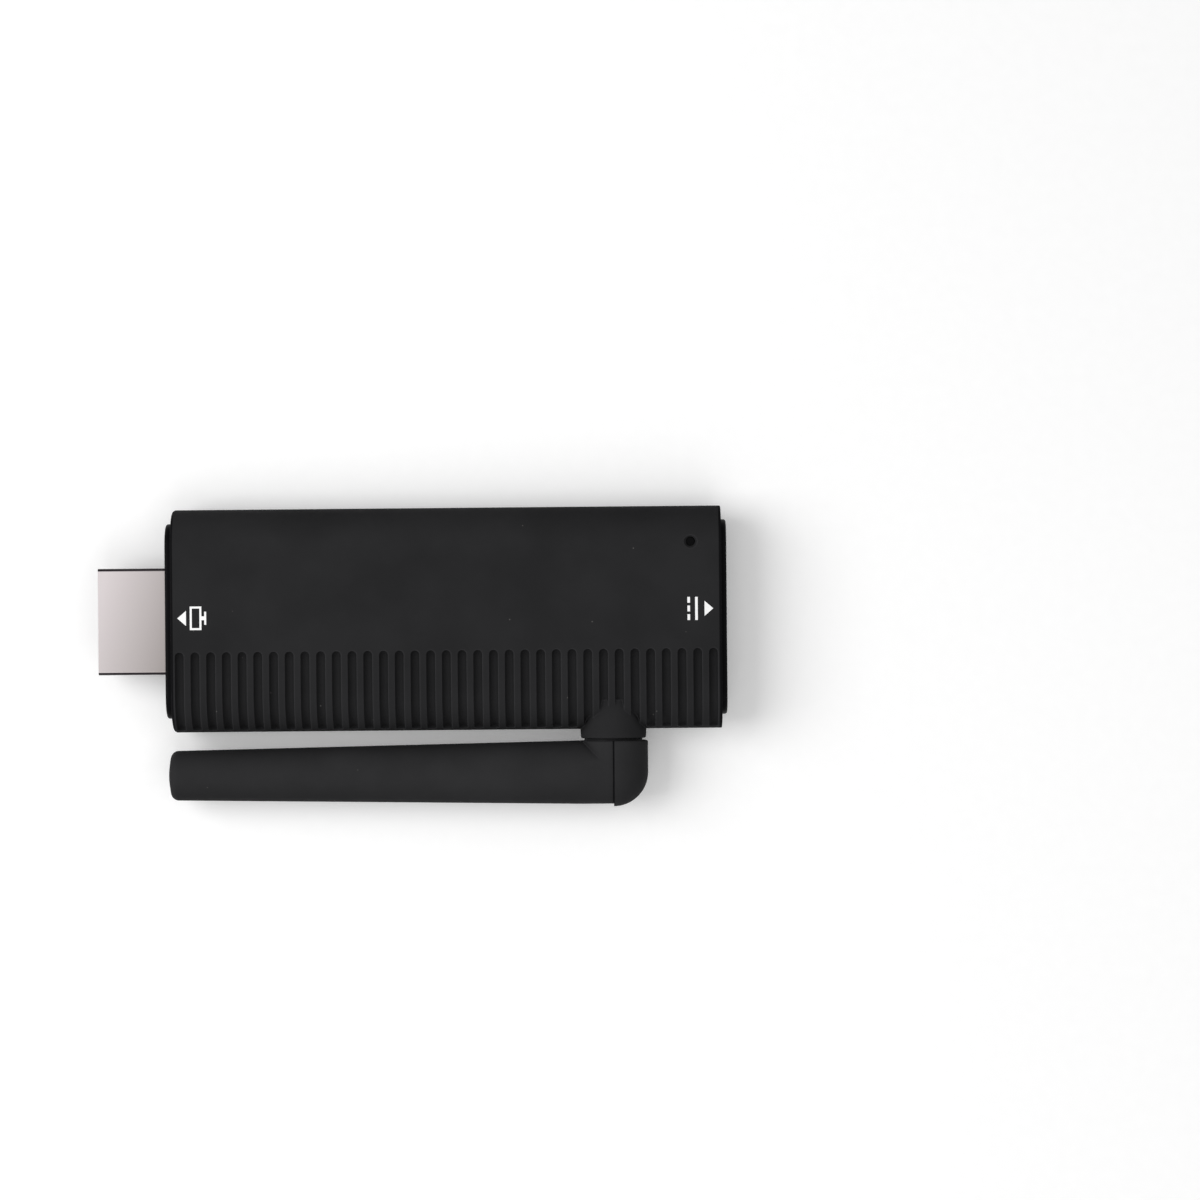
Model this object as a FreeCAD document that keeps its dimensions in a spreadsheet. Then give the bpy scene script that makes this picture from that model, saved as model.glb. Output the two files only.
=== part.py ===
import FreeCAD, Part
import math
import os
import re

import Sketcher

# Wireless display dongle, in millimetres.
# X runs along the casing with the plug at -X and the power socket at +X, the antenna lies on
# the -Y side and Z points up. The origin is the middle of the casing's flat bottom face.

# Driving sizes. Each one is written once, and every piece takes its size and place from here.
SIZES = {
    # The casing is a flat box with half-round sides, split at mid height into two shells.
    "case_long": 71.6,
    "case_wide": 29.05,
    "case_high": 9.6,
    "wall": 1.7,
    "front_round": 0.5,
    "rear_round": 0.15,
    "seam_bevel": 0.12,
    "tongue_high": 0.8,
    "tongue_thick": 0.8,
    "tongue_gap": 0.1,
    # End caps sit in the mouths of the casing, held by a flange in a slot of both shells.
    "cap_gap": 0.1,
    "cap_seat": 0.9,
    "cap_round": 0.35,
    "flange_thick": 1.0,
    "flange_catch": 0.6,
    "front_proud": 0.85,
    "rear_proud": 0.7,
    # Finger grooves wrap from the flat faces round the antenna side.
    "groove_count": 35,
    "groove_radius": 0.62,
    "groove_depth": 0.45,
    "groove_inset": 4.6,
    "groove_margin": 1.15,
    "groove_wrap": 66.0,
    # Antenna boss, a short cone that grows out of the grooved side.
    "boss_inset": 14.2,
    "boss_stand": 1.2,
    "boss_radius": 4.25,
    "boss_root_radius": 4.5,
    "boss_root_depth": 3.85,
    "boss_round": 0.25,
    # Hollow swivel neck, its friction washer and its stop.
    "neck_radius": 1.9,
    "neck_fit": 0.05,
    "neck_bore": 0.9,
    "neck_seat_depth": 2.95,
    "neck_flange_radius": 2.8,
    "neck_flange_thick": 1.0,
    "neck_recess_gap": 0.25,
    "washer_thick": 0.3,
    "collar_radius": 3.8,
    "collar_gap": 0.08,
    "lug_angle": 40.0,
    "lug_thick": 0.8,
    "stop_margin": 0.5,
    "swing_down": 90.0,
    "swing_up": 180.0,
    "head_wide": 4.6,
    "head_thick": 1.3,
    "head_wall": 1.0,
    # Antenna sheath with its elbow, and the cover of the elbow.
    "joint_gap": 0.3,
    "rod_drop": 5.65,
    "rod_long": 58.1,
    "rod_root_radius": 4.15,
    "rod_tip_radius": 3.25,
    "rod_tip_round": 1.0,
    "rod_tip_dome": 0.25,
    "rod_tip_wall": 3.0,
    "cover_radius": 4.5,
    "elbow_round": 0.25,
    "elbow_fit": 0.05,
    "peg_radius": 0.5,
    "peg_long": 1.4,
    # Antenna lead and radiator.
    "coax_radius": 0.565,
    "coax_bend": 2.0,
    "coax_dip_start": 0.4,
    "coax_dip_long": 4.4,
    "sleeve_radius": 1.8,
    "sleeve_wall": 0.3,
    "sleeve_long": 23.5,
    "sleeve_start": 6.2,
    "sleeve_gap": 0.15,
    "wire_radius": 0.8,
    "wire_end_gap": 2.2,
    # Video plug of folded steel.
    "plug_wide": 13.9,
    "plug_high": 4.45,
    "plug_reach": 8.75,
    "plug_inside": 4.0,
    "plug_bevel": 1.6,
    "plug_round": 0.5,
    "plug_sheet": 0.3,
    "plug_window_gap": 0.1,
    "plug_tab_long": 2.6,
    "plug_tab_high": 3.0,
    "insulator_fit": 0.05,
    "insulator_setback": 0.4,
    "slot_wide": 11.2,
    "slot_deep": 7.5,
    "contact_wide": 0.4,
    "contact_thick": 0.2,
    "contact_pitch": 1.0,
    "contact_setback": 1.2,
    "contact_pad": 1.6,
    "upper_contacts": 10,
    "lower_contacts": 9,
    # Power socket.
    "socket_wide": 7.5,
    "socket_high": 2.6,
    "socket_long": 5.5,
    "socket_bevel": 0.8,
    "socket_sheet": 0.25,
    "socket_recess": 0.2,
    "socket_side": 1.0,
    "socket_window_gap": 0.1,
    "socket_flare": 0.4,
    "socket_ear_wide": 1.2,
    "socket_ear_long": 3.0,
    "socket_back": 1.2,
    "tongue_reach": 3.7,
    "tongue_wide": 3.9,
    "tongue_plate": 0.6,
    "pin_wide": 0.25,
    "pin_thick": 0.12,
    "pin_pitch": 0.65,
    "pin_count": 5,
    # Main board and the posts that hold it.
    "board_thick": 1.0,
    "board_side_gap": 0.35,
    "board_end_gap": 0.2,
    "board_cut_gap": 0.15,
    "neck_notch_half": 5.0,
    "neck_notch_gap": 3.7,
    "post_inset": 7.5,
    "post_clear": 1.55,
    "post_radius": 1.5,
    "post_gap": 0.05,
    "dowel_radius": 0.6,
    "dowel_gap": 0.1,
    "dowel_rise": 0.8,
    # Heat path on the system chip.
    "pad_inset": 0.5,
    "pad_thick": 0.5,
    "spreader_long": 22.0,
    "spreader_wide": 18.0,
    "spreader_thick": 0.8,
    # Small ceramic parts.
    "capacitors_long": 1.6,
    "capacitors_wide": 0.8,
    "capacitors_high": 0.8,
    "resistors_long": 1.0,
    "resistors_wide": 0.5,
    "resistors_high": 0.4,
    # Radio shield can.
    "can_long": 11.0,
    "can_wide": 12.0,
    "can_high": 1.7,
    "can_sheet": 0.2,
    "can_to_boss": 8.6,
    "can_side": 2.5,
    # Antenna connector on the board.
    "jack_reach": 5.9,
    "jack_wide": 2.6,
    "jack_high": 0.35,
    "clip_wide": 2.6,
    "clip_high": 0.7,
    # Indicator light.
    "led_inset": 4.0,
    "led_edge": 4.7,
    "led_long": 1.6,
    "led_wide": 0.8,
    "led_high": 0.6,
    "pipe_radius": 0.5,
    "pipe_gap": 0.1,
    "pipe_rim": 1.0,
    "pipe_rim_thick": 0.4,
    "pipe_sunk": 0.55,
    "pipe_foot_gap": 0.1,
    "pipe_seat_radius": 1.6,
    "pipe_seat_drop": 0.6,
    "led_hole_bevel": 0.3,
}

# Board parts with a plain block body. Each one's place along X is measured inward from the
# casing's front or rear mouth, or from its middle; then come its place along Y, length, width, height.
CHIPS = {
    "soc_chip": ("front", 22.0, 0.0, 14.0, 14.0, 1.2),
    "radio_chip": ("boss", 8.6, 2.5, 6.0, 6.0, 0.9),
    "crystal": ("middle", -1.0, 9.2, 3.2, 2.5, 0.7),
    "power_inductor": ("rear", 13.4, 5.0, 4.0, 4.0, 1.8),
    "power_regulator": ("rear", 11.2, -0.2, 3.0, 3.0, 1.0),
}
UNDER_CHIPS = {
    "flash_chip": ("middle", -8.0, 0.0, 11.5, 13.0, 1.0),
    "memory_chip": ("middle", 6.5, 0.0, 8.0, 12.5, 1.0),
}

# Rows of small ceramic parts on the board's upper face: the first one's place as above, the
# row's place along Y, and the spacing; then how many there are.
ROWS = {
    "capacitors": [("front", 16.0, 9.2, 2.4, 6), ("front", 16.0, -9.2, 2.4, 8), ("rear", 16.6, 9.4, 2.2, 3)],
    "resistors": [("middle", 5.0, 10.6, 1.6, 5), ("middle", 2.0, -9.8, 1.6, 6), ("rear", 11.8, -4.4, 1.6, 3)],
}


def row_words(kind, index):
    return ["%s_row_%s_%s" % (kind, "abc"[index], word) for word in ("along", "side", "pitch")]


# The document and its sheet of sizes.
doc = FreeCAD.newDocument("display_dongle")
sheet = doc.addObject("Spreadsheet::Sheet", "Sizes")
for chip, (_, *sizes) in dict(CHIPS, **UNDER_CHIPS).items():
    for word, size in zip(("along", "side", "long", "wide", "high"), sizes):
        SIZES[chip + "_" + word] = size
for kind, rows in ROWS.items():
    for index, (_, *sizes, _) in enumerate(rows):
        SIZES.update(zip(row_words(kind, index), sizes))
for row, (alias, size) in enumerate(SIZES.items(), 1):
    sheet.set("A%d" % row, alias)
    sheet.set("B%d" % row, str(size))
    sheet.setAlias("B%d" % row, alias)
doc.recompute()

# Lengths that several pieces share, as formulas on the sheet's sizes.
MID = "case_high / 2"
HALF_LONG = "case_long / 2"
HALF_WIDE = "case_wide / 2"
SIDE_CENTRE = "(case_wide / 2 - case_high / 2)"
INNER_END = "(case_long / 2 - cap_seat - flange_thick)"
BOARD_TOP = "board_thick / 2"
ON_BOARD = "(case_high / 2 + board_thick / 2)"
NECK_SEAT = "(case_wide / 2 - neck_seat_depth)"
FLANGE_OUT = "(case_wide / 2 - neck_seat_depth - washer_thick)"
FLANGE_IN = "(case_wide / 2 - neck_seat_depth - washer_thick - neck_flange_thick)"
LUG_IN = "(case_wide / 2 - neck_seat_depth - washer_thick - neck_flange_thick - lug_thick)"
RECESS_RADIUS = "(neck_flange_radius + neck_recess_gap)"
BOSS_END = "(case_wide / 2 + boss_stand)"
BOSS_ALONG = "(case_long / 2 - boss_inset)"
ROD_LINE = "(case_wide / 2 + rod_drop)"
KNUCKLE_TOP = "(rod_drop - boss_stand - joint_gap)"
HEAD_TOP = "(rod_drop - boss_stand - joint_gap - head_wall)"
RIB_ANGLE = "(360 - swing_down - swing_up - lug_angle - 2 * stop_margin)"
PLUG_LONG = "(plug_reach + front_proud + plug_inside)"
PLUG_MOUTH = "(case_long / 2 + front_proud + plug_reach)"
SOCKET_MOUTH = "(case_long / 2 + rear_proud - socket_recess)"
BOARD_FRONT = "(case_long / 2 - plug_inside - board_end_gap)"
BOARD_REAR = "(case_long / 2 - cap_seat - flange_thick - board_end_gap)"
BOARD_HALF_WIDE = "(case_wide / 2 - wall - board_side_gap)"
NOTCH_LINE = "(%s - neck_notch_gap)" % LUG_IN
JACK_SIDE = "(%s - jack_reach)" % LUG_IN
POST_ALONG = "(case_long / 2 - post_inset)"
POST_SIDE = "(plug_wide / 2 + post_clear)"
LED_ALONG = "(case_long / 2 - led_inset)"
LED_SIDE = "(case_wide / 2 - led_edge)"

# Where a place along X is measured from, and which way.
FROM = {
    "front": "%s - case_long / 2",
    "middle": "%s",
    "boss": BOSS_ALONG + " - %s",
    "rear": "case_long / 2 - %s",
}

nodes = []


def full(formula):
    """The formula with every size word pointed at its cell."""
    return re.sub(r"[a-z_]\w*", lambda m: "Sizes." + m.group() if m.group() in SIZES else m.group(),
                  formula)


def number(formula):
    return float(sheet.evalExpression(full(formula)))


def bind(obj, **formulas):
    """Ties properties to formulas; a double underscore in a name stands for a dot."""
    for name, formula in formulas.items():
        obj.setExpression(name.replace("__", "."), full(formula))
    return obj


def minus(formula):
    return "-(%s)" % formula


def place(obj, x="0", y="0", z="0"):
    return bind(obj, Placement__Base__x=x, Placement__Base__y=y, Placement__Base__z=z)


def keep(obj, label):
    """Names a finished sub-part and lists it for export."""
    obj.Label = label
    nodes.append(obj)
    return obj


# Sketches and features.
def new_body(name, x="0", y="0", z=MID):
    return place(doc.addObject("PartDesign::Body", name), x, y, z)


def attach(feature, body, role, x, y, z):
    plane = [item for item in body.Origin.OriginFeatures if item.Role == role + "_Plane"][0]
    feature.AttachmentSupport = (plane, [""])
    feature.MapMode = "FlatFace"
    bind(feature, AttachmentOffset__Base__x=x, AttachmentOffset__Base__y=y, AttachmentOffset__Base__z=z)


def new_sketch(body, role, x="0", y="0", z="0"):
    """A sketch on one of the body's own planes, shifted by x and y in it and by z along its normal."""
    sketch = body.newObject("Sketcher::SketchObject", body.Name + "_sketch")
    attach(sketch, body, role, x, y, z)
    return sketch


def hold(geometry, end, x, y):
    """Rules that fix one point of a sketch at a pair of formulas."""
    rules = []
    for kind, axis, formula in (("DistanceX", -2, x), ("DistanceY", -1, y)):
        if formula == "0":
            rules.append((Sketcher.Constraint("PointOnObject", geometry, end, axis), None))
        else:
            rules.append((Sketcher.Constraint(kind, -1, 1, geometry, end, number(formula)), formula))
    return rules


def rounding(geometry, radius):
    return (Sketcher.Constraint("Radius", geometry, number(radius)), radius)


def tie(sketch, rules):
    """Adds the rules to the sketch and binds each size among them to its formula."""
    indices = sketch.addConstraint([rule for rule, _ in rules])
    for index, (_, formula) in zip(indices, rules):
        if formula:
            sketch.setExpression("Constraints[%d]" % index, full(formula))
    return sketch


def arc_edge(start, stop, radius, turn):
    """The short arc from start to stop; turn is 1 counter-clockwise and -1 clockwise."""
    chord = stop - start
    rise = math.sqrt(max(radius ** 2 - (chord.Length / 2) ** 2, 0.0))
    across = FreeCAD.Vector(-chord.y, chord.x, 0).normalize()
    centre = start + chord * 0.5 + across * rise * turn
    first, last = (start, stop) if turn > 0 else (stop, start)
    angles = [math.atan2(spot.y - centre.y, spot.x - centre.x) for spot in (first, last)]
    if angles[1] < angles[0]:
        angles[1] += 2 * math.pi
    return Part.ArcOfCircle(Part.Circle(centre, FreeCAD.Vector(0, 0, 1), radius), *angles)


def add_edge(sketch, start, stop, arc):
    """A line, or the arc given by its radius and turn, with the numbers of its first and last end."""
    if arc is None:
        return sketch.addGeometry(Part.LineSegment(start, stop), False), 1, 2
    radius, way = arc
    edge = sketch.addGeometry(arc_edge(start, stop, number(radius), way), False)
    return (edge, 1, 2) if way > 0 else (edge, 2, 1)


def loop_rules(sketch, corners, arcs=None, closed=True):
    """Draws a run of sides through the corners; arcs gives radius and turn of the curved sides."""
    arcs = arcs or {}
    spots = [FreeCAD.Vector(number(x), number(y), 0) for x, y in corners]
    stops = spots[1:] + spots[:1] if closed else spots[1:]
    sides = [add_edge(sketch, start, stop, arcs.get(index))
             for index, (start, stop) in enumerate(zip(spots, stops))]
    rules = [rounding(sides[index][0], arc[0]) for index, arc in arcs.items()]
    for index, (edge, first, _) in enumerate(sides):
        if index or closed:
            before, _, last = sides[index - 1]
            rules.append((Sketcher.Constraint("Coincident", before, last, edge, first), None))
        rules += hold(edge, first, *corners[index])
    if not closed:
        rules += hold(sides[-1][0], sides[-1][2], *corners[-1])
    return rules


def outline(sketch, corners, arcs=None, closed=True):
    return tie(sketch, loop_rules(sketch, corners, arcs, closed))


def rectangle(sketch, low, high):
    return outline(sketch, [low, (high[0], low[1]), high, (low[0], high[1])])


def circles(sketch, places, radius):
    rules = []
    for x, y in places:
        spot = FreeCAD.Vector(number(x), number(y), 0)
        ring = sketch.addGeometry(Part.Circle(spot, FreeCAD.Vector(0, 0, 1), number(radius)), False)
        rules += hold(ring, 3, x, y) + [rounding(ring, radius)]
    return tie(sketch, rules)


def circle(sketch, x, y, radius):
    return circles(sketch, [(x, y)], radius)


def half_stadium(sketch, half_wide, half_high, sign):
    """The half of a flat box section with half-round sides that lies above or below its middle."""
    side = "(%s) - (%s)" % (half_wide, half_high)
    level = half_high if sign > 0 else minus(half_high)
    corners = [(minus(half_wide), "0"), (minus(side), level), (side, level), (half_wide, "0")]
    return outline(sketch, corners, {0: (half_high, -sign), 2: (half_high, -sign)})


def stadium(sketch, half_wide, half_high):
    side = "(%s) - (%s)" % (half_wide, half_high)
    low = minus(half_high)
    corners = [(half_wide, "0"), (side, half_high), (minus(side), half_high), (minus(half_wide), "0"),
               (minus(side), low), (side, low)]
    return outline(sketch, corners, {index: (half_high, 1) for index in (0, 2, 3, 5)})


def feature(body, kind, profile=None, **settings):
    step = body.newObject("PartDesign::" + kind, body.Name + "_" + kind.lower())
    if profile is not None:
        step.Profile = profile
        profile.Visibility = False
    for name, setting in settings.items():
        setattr(step, name, setting)
    body.Tip = step
    return step


def pad(body, profile, length, back=False, both=False):
    step = feature(body, "Pad", profile, Reversed=back, SideType="Symmetric" if both else "One side")
    return bind(step, Length=length)


def pocket(body, profile, length, back=False, both=False):
    step = feature(body, "Pocket", profile, Reversed=back, SideType="Symmetric" if both else "One side")
    return bind(step, Length=length)


def turn(body, profile, axis="V_Axis", angle="360", back=False, cut=False):
    """A revolution about an axis of its sketch, or a groove when it cuts."""
    step = feature(body, "Groove" if cut else "Revolution", profile, Reversed=back)
    step.ReferenceAxis = (profile, [axis])
    return bind(step, Angle=angle)


def dress(body, kind, size, pick):
    """A fillet or chamfer on the edges that pick accepts."""
    doc.recompute()
    base = body.Tip
    names = ["Edge%d" % n for n, edge in enumerate(base.Shape.Edges, 1) if pick(edge)]
    step = feature(body, kind, Base=(base, names))
    return bind(step, **{"Radius" if kind == "Fillet" else "Size": size})


def near(value, formula):
    return abs(value - number(formula)) < 1e-4


def lies_at(axis, formula):
    """A test that an edge lies wholly at one place along x, y or z of its body."""
    def test(edge):
        box = edge.BoundBox
        low, high = getattr(box, axis.upper() + "Min"), getattr(box, axis.upper() + "Max")
        return near(low, formula) and near(high, formula)
    return test


def runs_along(axis):
    """A test that an edge is a straight line along x, y or z."""
    def test(edge):
        box = edge.BoundBox
        spans = {"x": box.XLength, "y": box.YLength, "z": box.ZLength}
        return spans.pop(axis) > 1e-4 and max(spans.values()) < 1e-4
    return test


# The casing.
def groove_cutter():
    """The form of one finger groove: a straight run, a bend round the side and two ball ends."""
    body = new_body("groove_cutter", x="groove_margin - case_long / 2")
    level = "(case_high / 2 + groove_radius - groove_depth)"
    section = circle(new_sketch(body, "XZ", z=SIDE_CENTRE), "0", level, "groove_radius")
    pad(body, section, SIDE_CENTRE + " - groove_inset", back=True)
    turn(body, section, "H_Axis", "groove_wrap")
    wrap_end = ("%s * cos(groove_wrap)" % level, "%s + %s * sin(groove_wrap)" % (SIDE_CENTRE, level))
    for upward, outward in ((level, "groove_inset"), wrap_end):
        ball = feature(body, "AdditiveSphere")
        attach(ball, body, "XZ", "0", upward, outward)
        bind(ball, Radius="groove_radius")
    return body


def groove_row():
    """Every groove of both shells, cut short where the boss covers the side."""
    doc.recompute()
    upper = groove_cutter()
    doc.recompute()
    middle = FreeCAD.Vector(0, 0, number(MID))
    pair = Part.Compound([upper.Shape, upper.Shape.mirror(middle, FreeCAD.Vector(0, 0, 1))])
    count = int(number("groove_count"))
    pitch = number("(case_long - 2 * groove_margin) / (groove_count - 1)")
    row = doc.addObject("Part::Feature", "groove_row")
    steps = [FreeCAD.Vector(index * pitch, 0, 0) for index in range(count)]
    row.Shape = Part.Compound([pair.translated(step) for step in steps])
    boss = doc.addObject("Part::Cone", "boss_form")
    bind(boss, Radius1="boss_radius", Radius2="boss_root_radius", Height="boss_stand + boss_root_depth")
    place(boss, BOSS_ALONG, minus(BOSS_END), MID)
    boss.Placement.Rotation = FreeCAD.Rotation(FreeCAD.Vector(1, 0, 0), -90)
    clear = doc.addObject("Part::Cut", "groove_form")
    clear.Base = row
    clear.Tool = boss
    return clear


def shell(name, sign, grooves):
    """One half of the casing; sign is 1 for the upper shell and -1 for the lower one."""
    up = sign > 0
    body = new_body(name + "_plain")
    pad(body, half_stadium(new_sketch(body, "YZ"), HALF_WIDE, MID, sign), "case_long", both=True)

    def outer_end(formula):
        at_end = lies_at("x", formula)
        return lambda edge: at_end(edge) and abs(edge.BoundBox.ZLength + edge.BoundBox.ZMax) > 1e-4
    dress(body, "Fillet", "front_round", outer_end(minus(HALF_LONG)))
    dress(body, "Fillet", "rear_round", outer_end(HALF_LONG))
    along, middle = runs_along("x"), lies_at("z", "0")
    dress(body, "Chamfer", "seam_bevel", lambda edge: along(edge) and middle(edge))

    # Antenna boss, solid as yet.
    boss = new_sketch(body, "XY", x=BOSS_ALONG)
    root = minus("case_wide / 2 - boss_root_depth")
    end = minus(BOSS_END)
    outline(boss, [("0", end), ("boss_radius", end), ("boss_root_radius", root), ("0", root)])
    turn(body, boss, angle="180", back=up)
    at_boss_end, rounding = lies_at("y", end), number("boss_round")
    dress(body, "Fillet", "boss_round", lambda edge: at_boss_end(edge) and edge.BoundBox.ZLength > rounding)

    # Hollow inside, with a slot for each cap's flange.
    cavity = half_stadium(new_sketch(body, "YZ"), HALF_WIDE + " - wall", MID + " - wall", sign)
    pocket(body, cavity, "case_long", both=True)
    catch = "- wall + flange_catch"
    for side in (-1, 1):
        start = INNER_END if side > 0 else minus(INNER_END)
        slot = half_stadium(new_sketch(body, "YZ", z=start), HALF_WIDE + catch, MID + catch, sign)
        pocket(body, slot, "flange_thick", back=side > 0)
    neck_seat(body, up)
    seam_joint(body, up)
    board_posts(body, up)
    if up:
        indicator_hole(body)
    else:
        stop_rib(body)
    grooved = doc.addObject("Part::Cut", name)
    grooved.Base = body
    grooved.Tool = grooves
    return keep(grooved, name)


def neck_seat(body, up):
    """Fills the wall behind the boss, then bores it for the neck, its washer and its flange."""
    block = new_sketch(body, "XY", x=BOSS_ALONG)
    outer, seat, root = minus(BOSS_END), minus(NECK_SEAT), minus("case_wide / 2 - boss_root_depth")
    rim = minus(HALF_WIDE)
    outline(block, [("0", rim), ("boss_radius", rim), ("boss_root_radius", root), ("0", root)])
    turn(body, block, angle="180", back=up)
    bore = new_sketch(body, "XY", x=BOSS_ALONG)
    inner = minus(LUG_IN + " - neck_recess_gap")
    journal = "neck_radius + neck_fit"
    outline(bore, [("0", outer), (journal, outer), (journal, seat), (RECESS_RADIUS, seat),
                   (RECESS_RADIUS, inner), ("0", inner)])
    turn(body, bore, angle="180", back=up, cut=True)


def seam_joint(body, up):
    """A tongue on the lower shell's long walls, and the rebate of the upper shell that it enters."""
    end = INNER_END + " - tongue_thick"
    spread = "0" if up else "tongue_gap"
    inner = HALF_WIDE + " - wall - tongue_thick" if up else HALF_WIDE + " - wall"
    outer = HALF_WIDE + " - wall + tongue_thick" + ("" if up else " - tongue_gap")
    front, rear = "%s - %s" % (minus(end), "tongue_gap" if up else "0"), end
    boss_low = "%s - boss_root_radius - %s" % (BOSS_ALONG, spread)
    boss_high = "%s + boss_root_radius + %s" % (BOSS_ALONG, spread)
    walls = new_sketch(body, "XY")
    rectangle(walls, (front, inner), (rear, outer))
    rectangle(walls, (front, minus(outer)), (boss_low, minus(inner)))
    rectangle(walls, (boss_high, minus(outer)), (rear, minus(inner)))
    if up:
        pocket(body, walls, "tongue_high + tongue_gap", back=True)
    else:
        pad(body, walls, "tongue_high")


def post_places():
    return [(x, y) for x in (POST_ALONG, minus(POST_ALONG)) for y in (POST_SIDE, minus(POST_SIDE))]


def board_posts(body, up):
    """Four posts: the lower ones carry the board on dowels, the upper ones press it down."""
    level = "(case_high / 2 - wall)"
    face = BOARD_TOP + " + post_gap" if up else BOARD_TOP
    posts = new_sketch(body, "XY", z=face if up else minus(face))
    circles(posts, post_places(), "post_radius")
    pad(body, posts, "%s - (%s) + wall / 2" % (level, face), back=not up)
    pins = new_sketch(body, "XY", z=face if up else minus(face))
    circles(pins, post_places(), "dowel_radius + dowel_gap" if up else "dowel_radius")
    if up:
        pocket(body, pins, "dowel_rise + dowel_gap", back=True)
    else:
        pad(body, pins, "board_thick + dowel_rise")


def indicator_hole(body):
    """A bevelled hole over the light, with a seat for the light pipe's rim below it."""
    ceiling = "(case_high / 2 - wall)"
    seat = new_sketch(body, "XY", LED_ALONG, LED_SIDE, ceiling + " - pipe_seat_drop")
    circle(seat, "0", "0", "pipe_seat_radius")
    pad(body, seat, "pipe_seat_drop + wall / 2")
    hole = new_sketch(body, "XZ", x=LED_ALONG, z=minus(LED_SIDE))
    low, high = ceiling + " - 2 * pipe_seat_drop", MID + " + led_hole_bevel"
    wide = "pipe_radius + pipe_gap"
    outline(hole, [("0", low), (wide, low), (wide, MID + " - led_hole_bevel"),
                   (wide + " + 2 * led_hole_bevel", high), ("0", high)])
    turn(body, hole, cut=True)


def stop_rib(body):
    """A rib in the neck's recess that the lug on the neck swings against."""
    rib = feature(body, "AdditiveCylinder")
    attach(rib, body, "XZ", BOSS_ALONG, "0", LUG_IN)
    bind(rib, Radius=RECESS_RADIUS + " + wall / 4", Height="lug_thick - neck_fit", Angle=RIB_ANGLE)
    bind(rib, AttachmentOffset__Rotation__Angle="-90 - %s / 2" % RIB_ANGLE)
    core = new_sketch(body, "XZ", x=BOSS_ALONG, z=LUG_IN)
    circle(core, "0", "0", "neck_bore + neck_recess_gap")
    pocket(body, core, "lug_thick", back=True)


def end_cap(name, side, proud):
    """A cap in one mouth of the casing, as yet without its window; side is -1 front, 1 rear."""
    body = new_body(name)
    seat = HALF_LONG + " - cap_seat"
    face = "%s + %s" % (HALF_LONG, proud)
    if side < 0:
        seat, face = minus(seat), minus(face)
    inset, catch = "- wall - cap_gap", "- wall - cap_gap + flange_catch"
    plate = stadium(new_sketch(body, "YZ", z=seat), HALF_WIDE + inset, MID + inset)
    pad(body, plate, proud + " + cap_seat", back=side < 0)
    dress(body, "Fillet", "cap_round", lies_at("x", face))
    flange = stadium(new_sketch(body, "YZ", z=seat), HALF_WIDE + catch, MID + catch)
    pad(body, flange, "flange_thick", back=side > 0)
    return body, face


def folded_section(sketch, wide, high, bevel, inset="0"):
    """The section of a plug or socket: flat top, upright sides and two bevelled lower corners."""
    across = "((%s) / 2 - (%s))" % (wide, inset)
    top = "((%s) / 2 - (%s))" % (high, inset)
    cut = "((%s) - (%s) * (2 - sqrt(2)))" % (bevel, inset)
    low = minus(top)
    corners = [(across, top), (minus(across), top), (minus(across), "%s + %s" % (low, cut)),
               ("%s - %s" % (cut, across), low), ("%s - %s" % (across, cut), low),
               (across, "%s + %s" % (low, cut))]
    return outline(sketch, corners)


def front_end_cap():
    body, _ = end_cap("front_end_cap", -1, "front_proud")
    window = folded_section(new_sketch(body, "YZ"), "plug_wide", "plug_high", "plug_bevel",
                            "-plug_window_gap")
    pocket(body, window, "3 * case_long", both=True)
    return keep(body, "front_end_cap")


def rear_end_cap():
    body, face = end_cap("rear_end_cap", 1, "rear_proud")
    window = new_sketch(body, "YZ", x="socket_side")
    folded_section(window, "socket_wide", "socket_high", "socket_bevel", "-socket_window_gap")
    pocket(body, window, "3 * case_long", both=True)
    at_face = lies_at("x", face)
    reach = number("socket_wide / 2 + 2 * socket_window_gap")
    side = number("socket_side")
    dress(body, "Chamfer", "socket_flare",
          lambda edge: at_face(edge) and all(abs(end.Y - side) < reach for end in edge.Vertexes))
    return keep(body, "rear_end_cap")


# The video plug.
def plug_body(name):
    return new_body(name, x=minus(PLUG_MOUTH))


def sheet_tube(body, length, back, sheet_size, round_size, front):
    """Rounds the long edges of the padded section and hollows it to an even sheet."""
    along = runs_along("x")
    dress(body, "Fillet", round_size, along)
    doc.recompute()
    ends = [front, minus(length) if back else length]
    faces = ["Face%d" % n for n, face in enumerate(body.Tip.Shape.Faces, 1)
             if face.BoundBox.XLength < 1e-4 and any(near(face.BoundBox.XMin, end) for end in ends)]
    skin = feature(body, "Thickness", Base=(body.Tip, faces), Mode="Skin", Join="Arc", Reversed=True)
    return bind(skin, Value=sheet_size)


def hdmi_shell():
    body = plug_body("hdmi_shell")
    section = folded_section(new_sketch(body, "YZ"), "plug_wide", "plug_high", "plug_bevel")
    pad(body, section, PLUG_LONG)
    sheet_tube(body, PLUG_LONG, False, "plug_sheet", "plug_round", "0")
    tabs = new_sketch(body, "YZ", z=PLUG_LONG)
    for sign in ("", "-"):
        near_side, far_side = sign + "(plug_wide / 2 - plug_sheet)", sign + "plug_wide / 2"
        rectangle(tabs, (near_side, "-plug_tab_high / 2"), (far_side, "plug_tab_high / 2"))
    pad(body, tabs, "plug_tab_long")
    return keep(body, "hdmi_shell")


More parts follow.
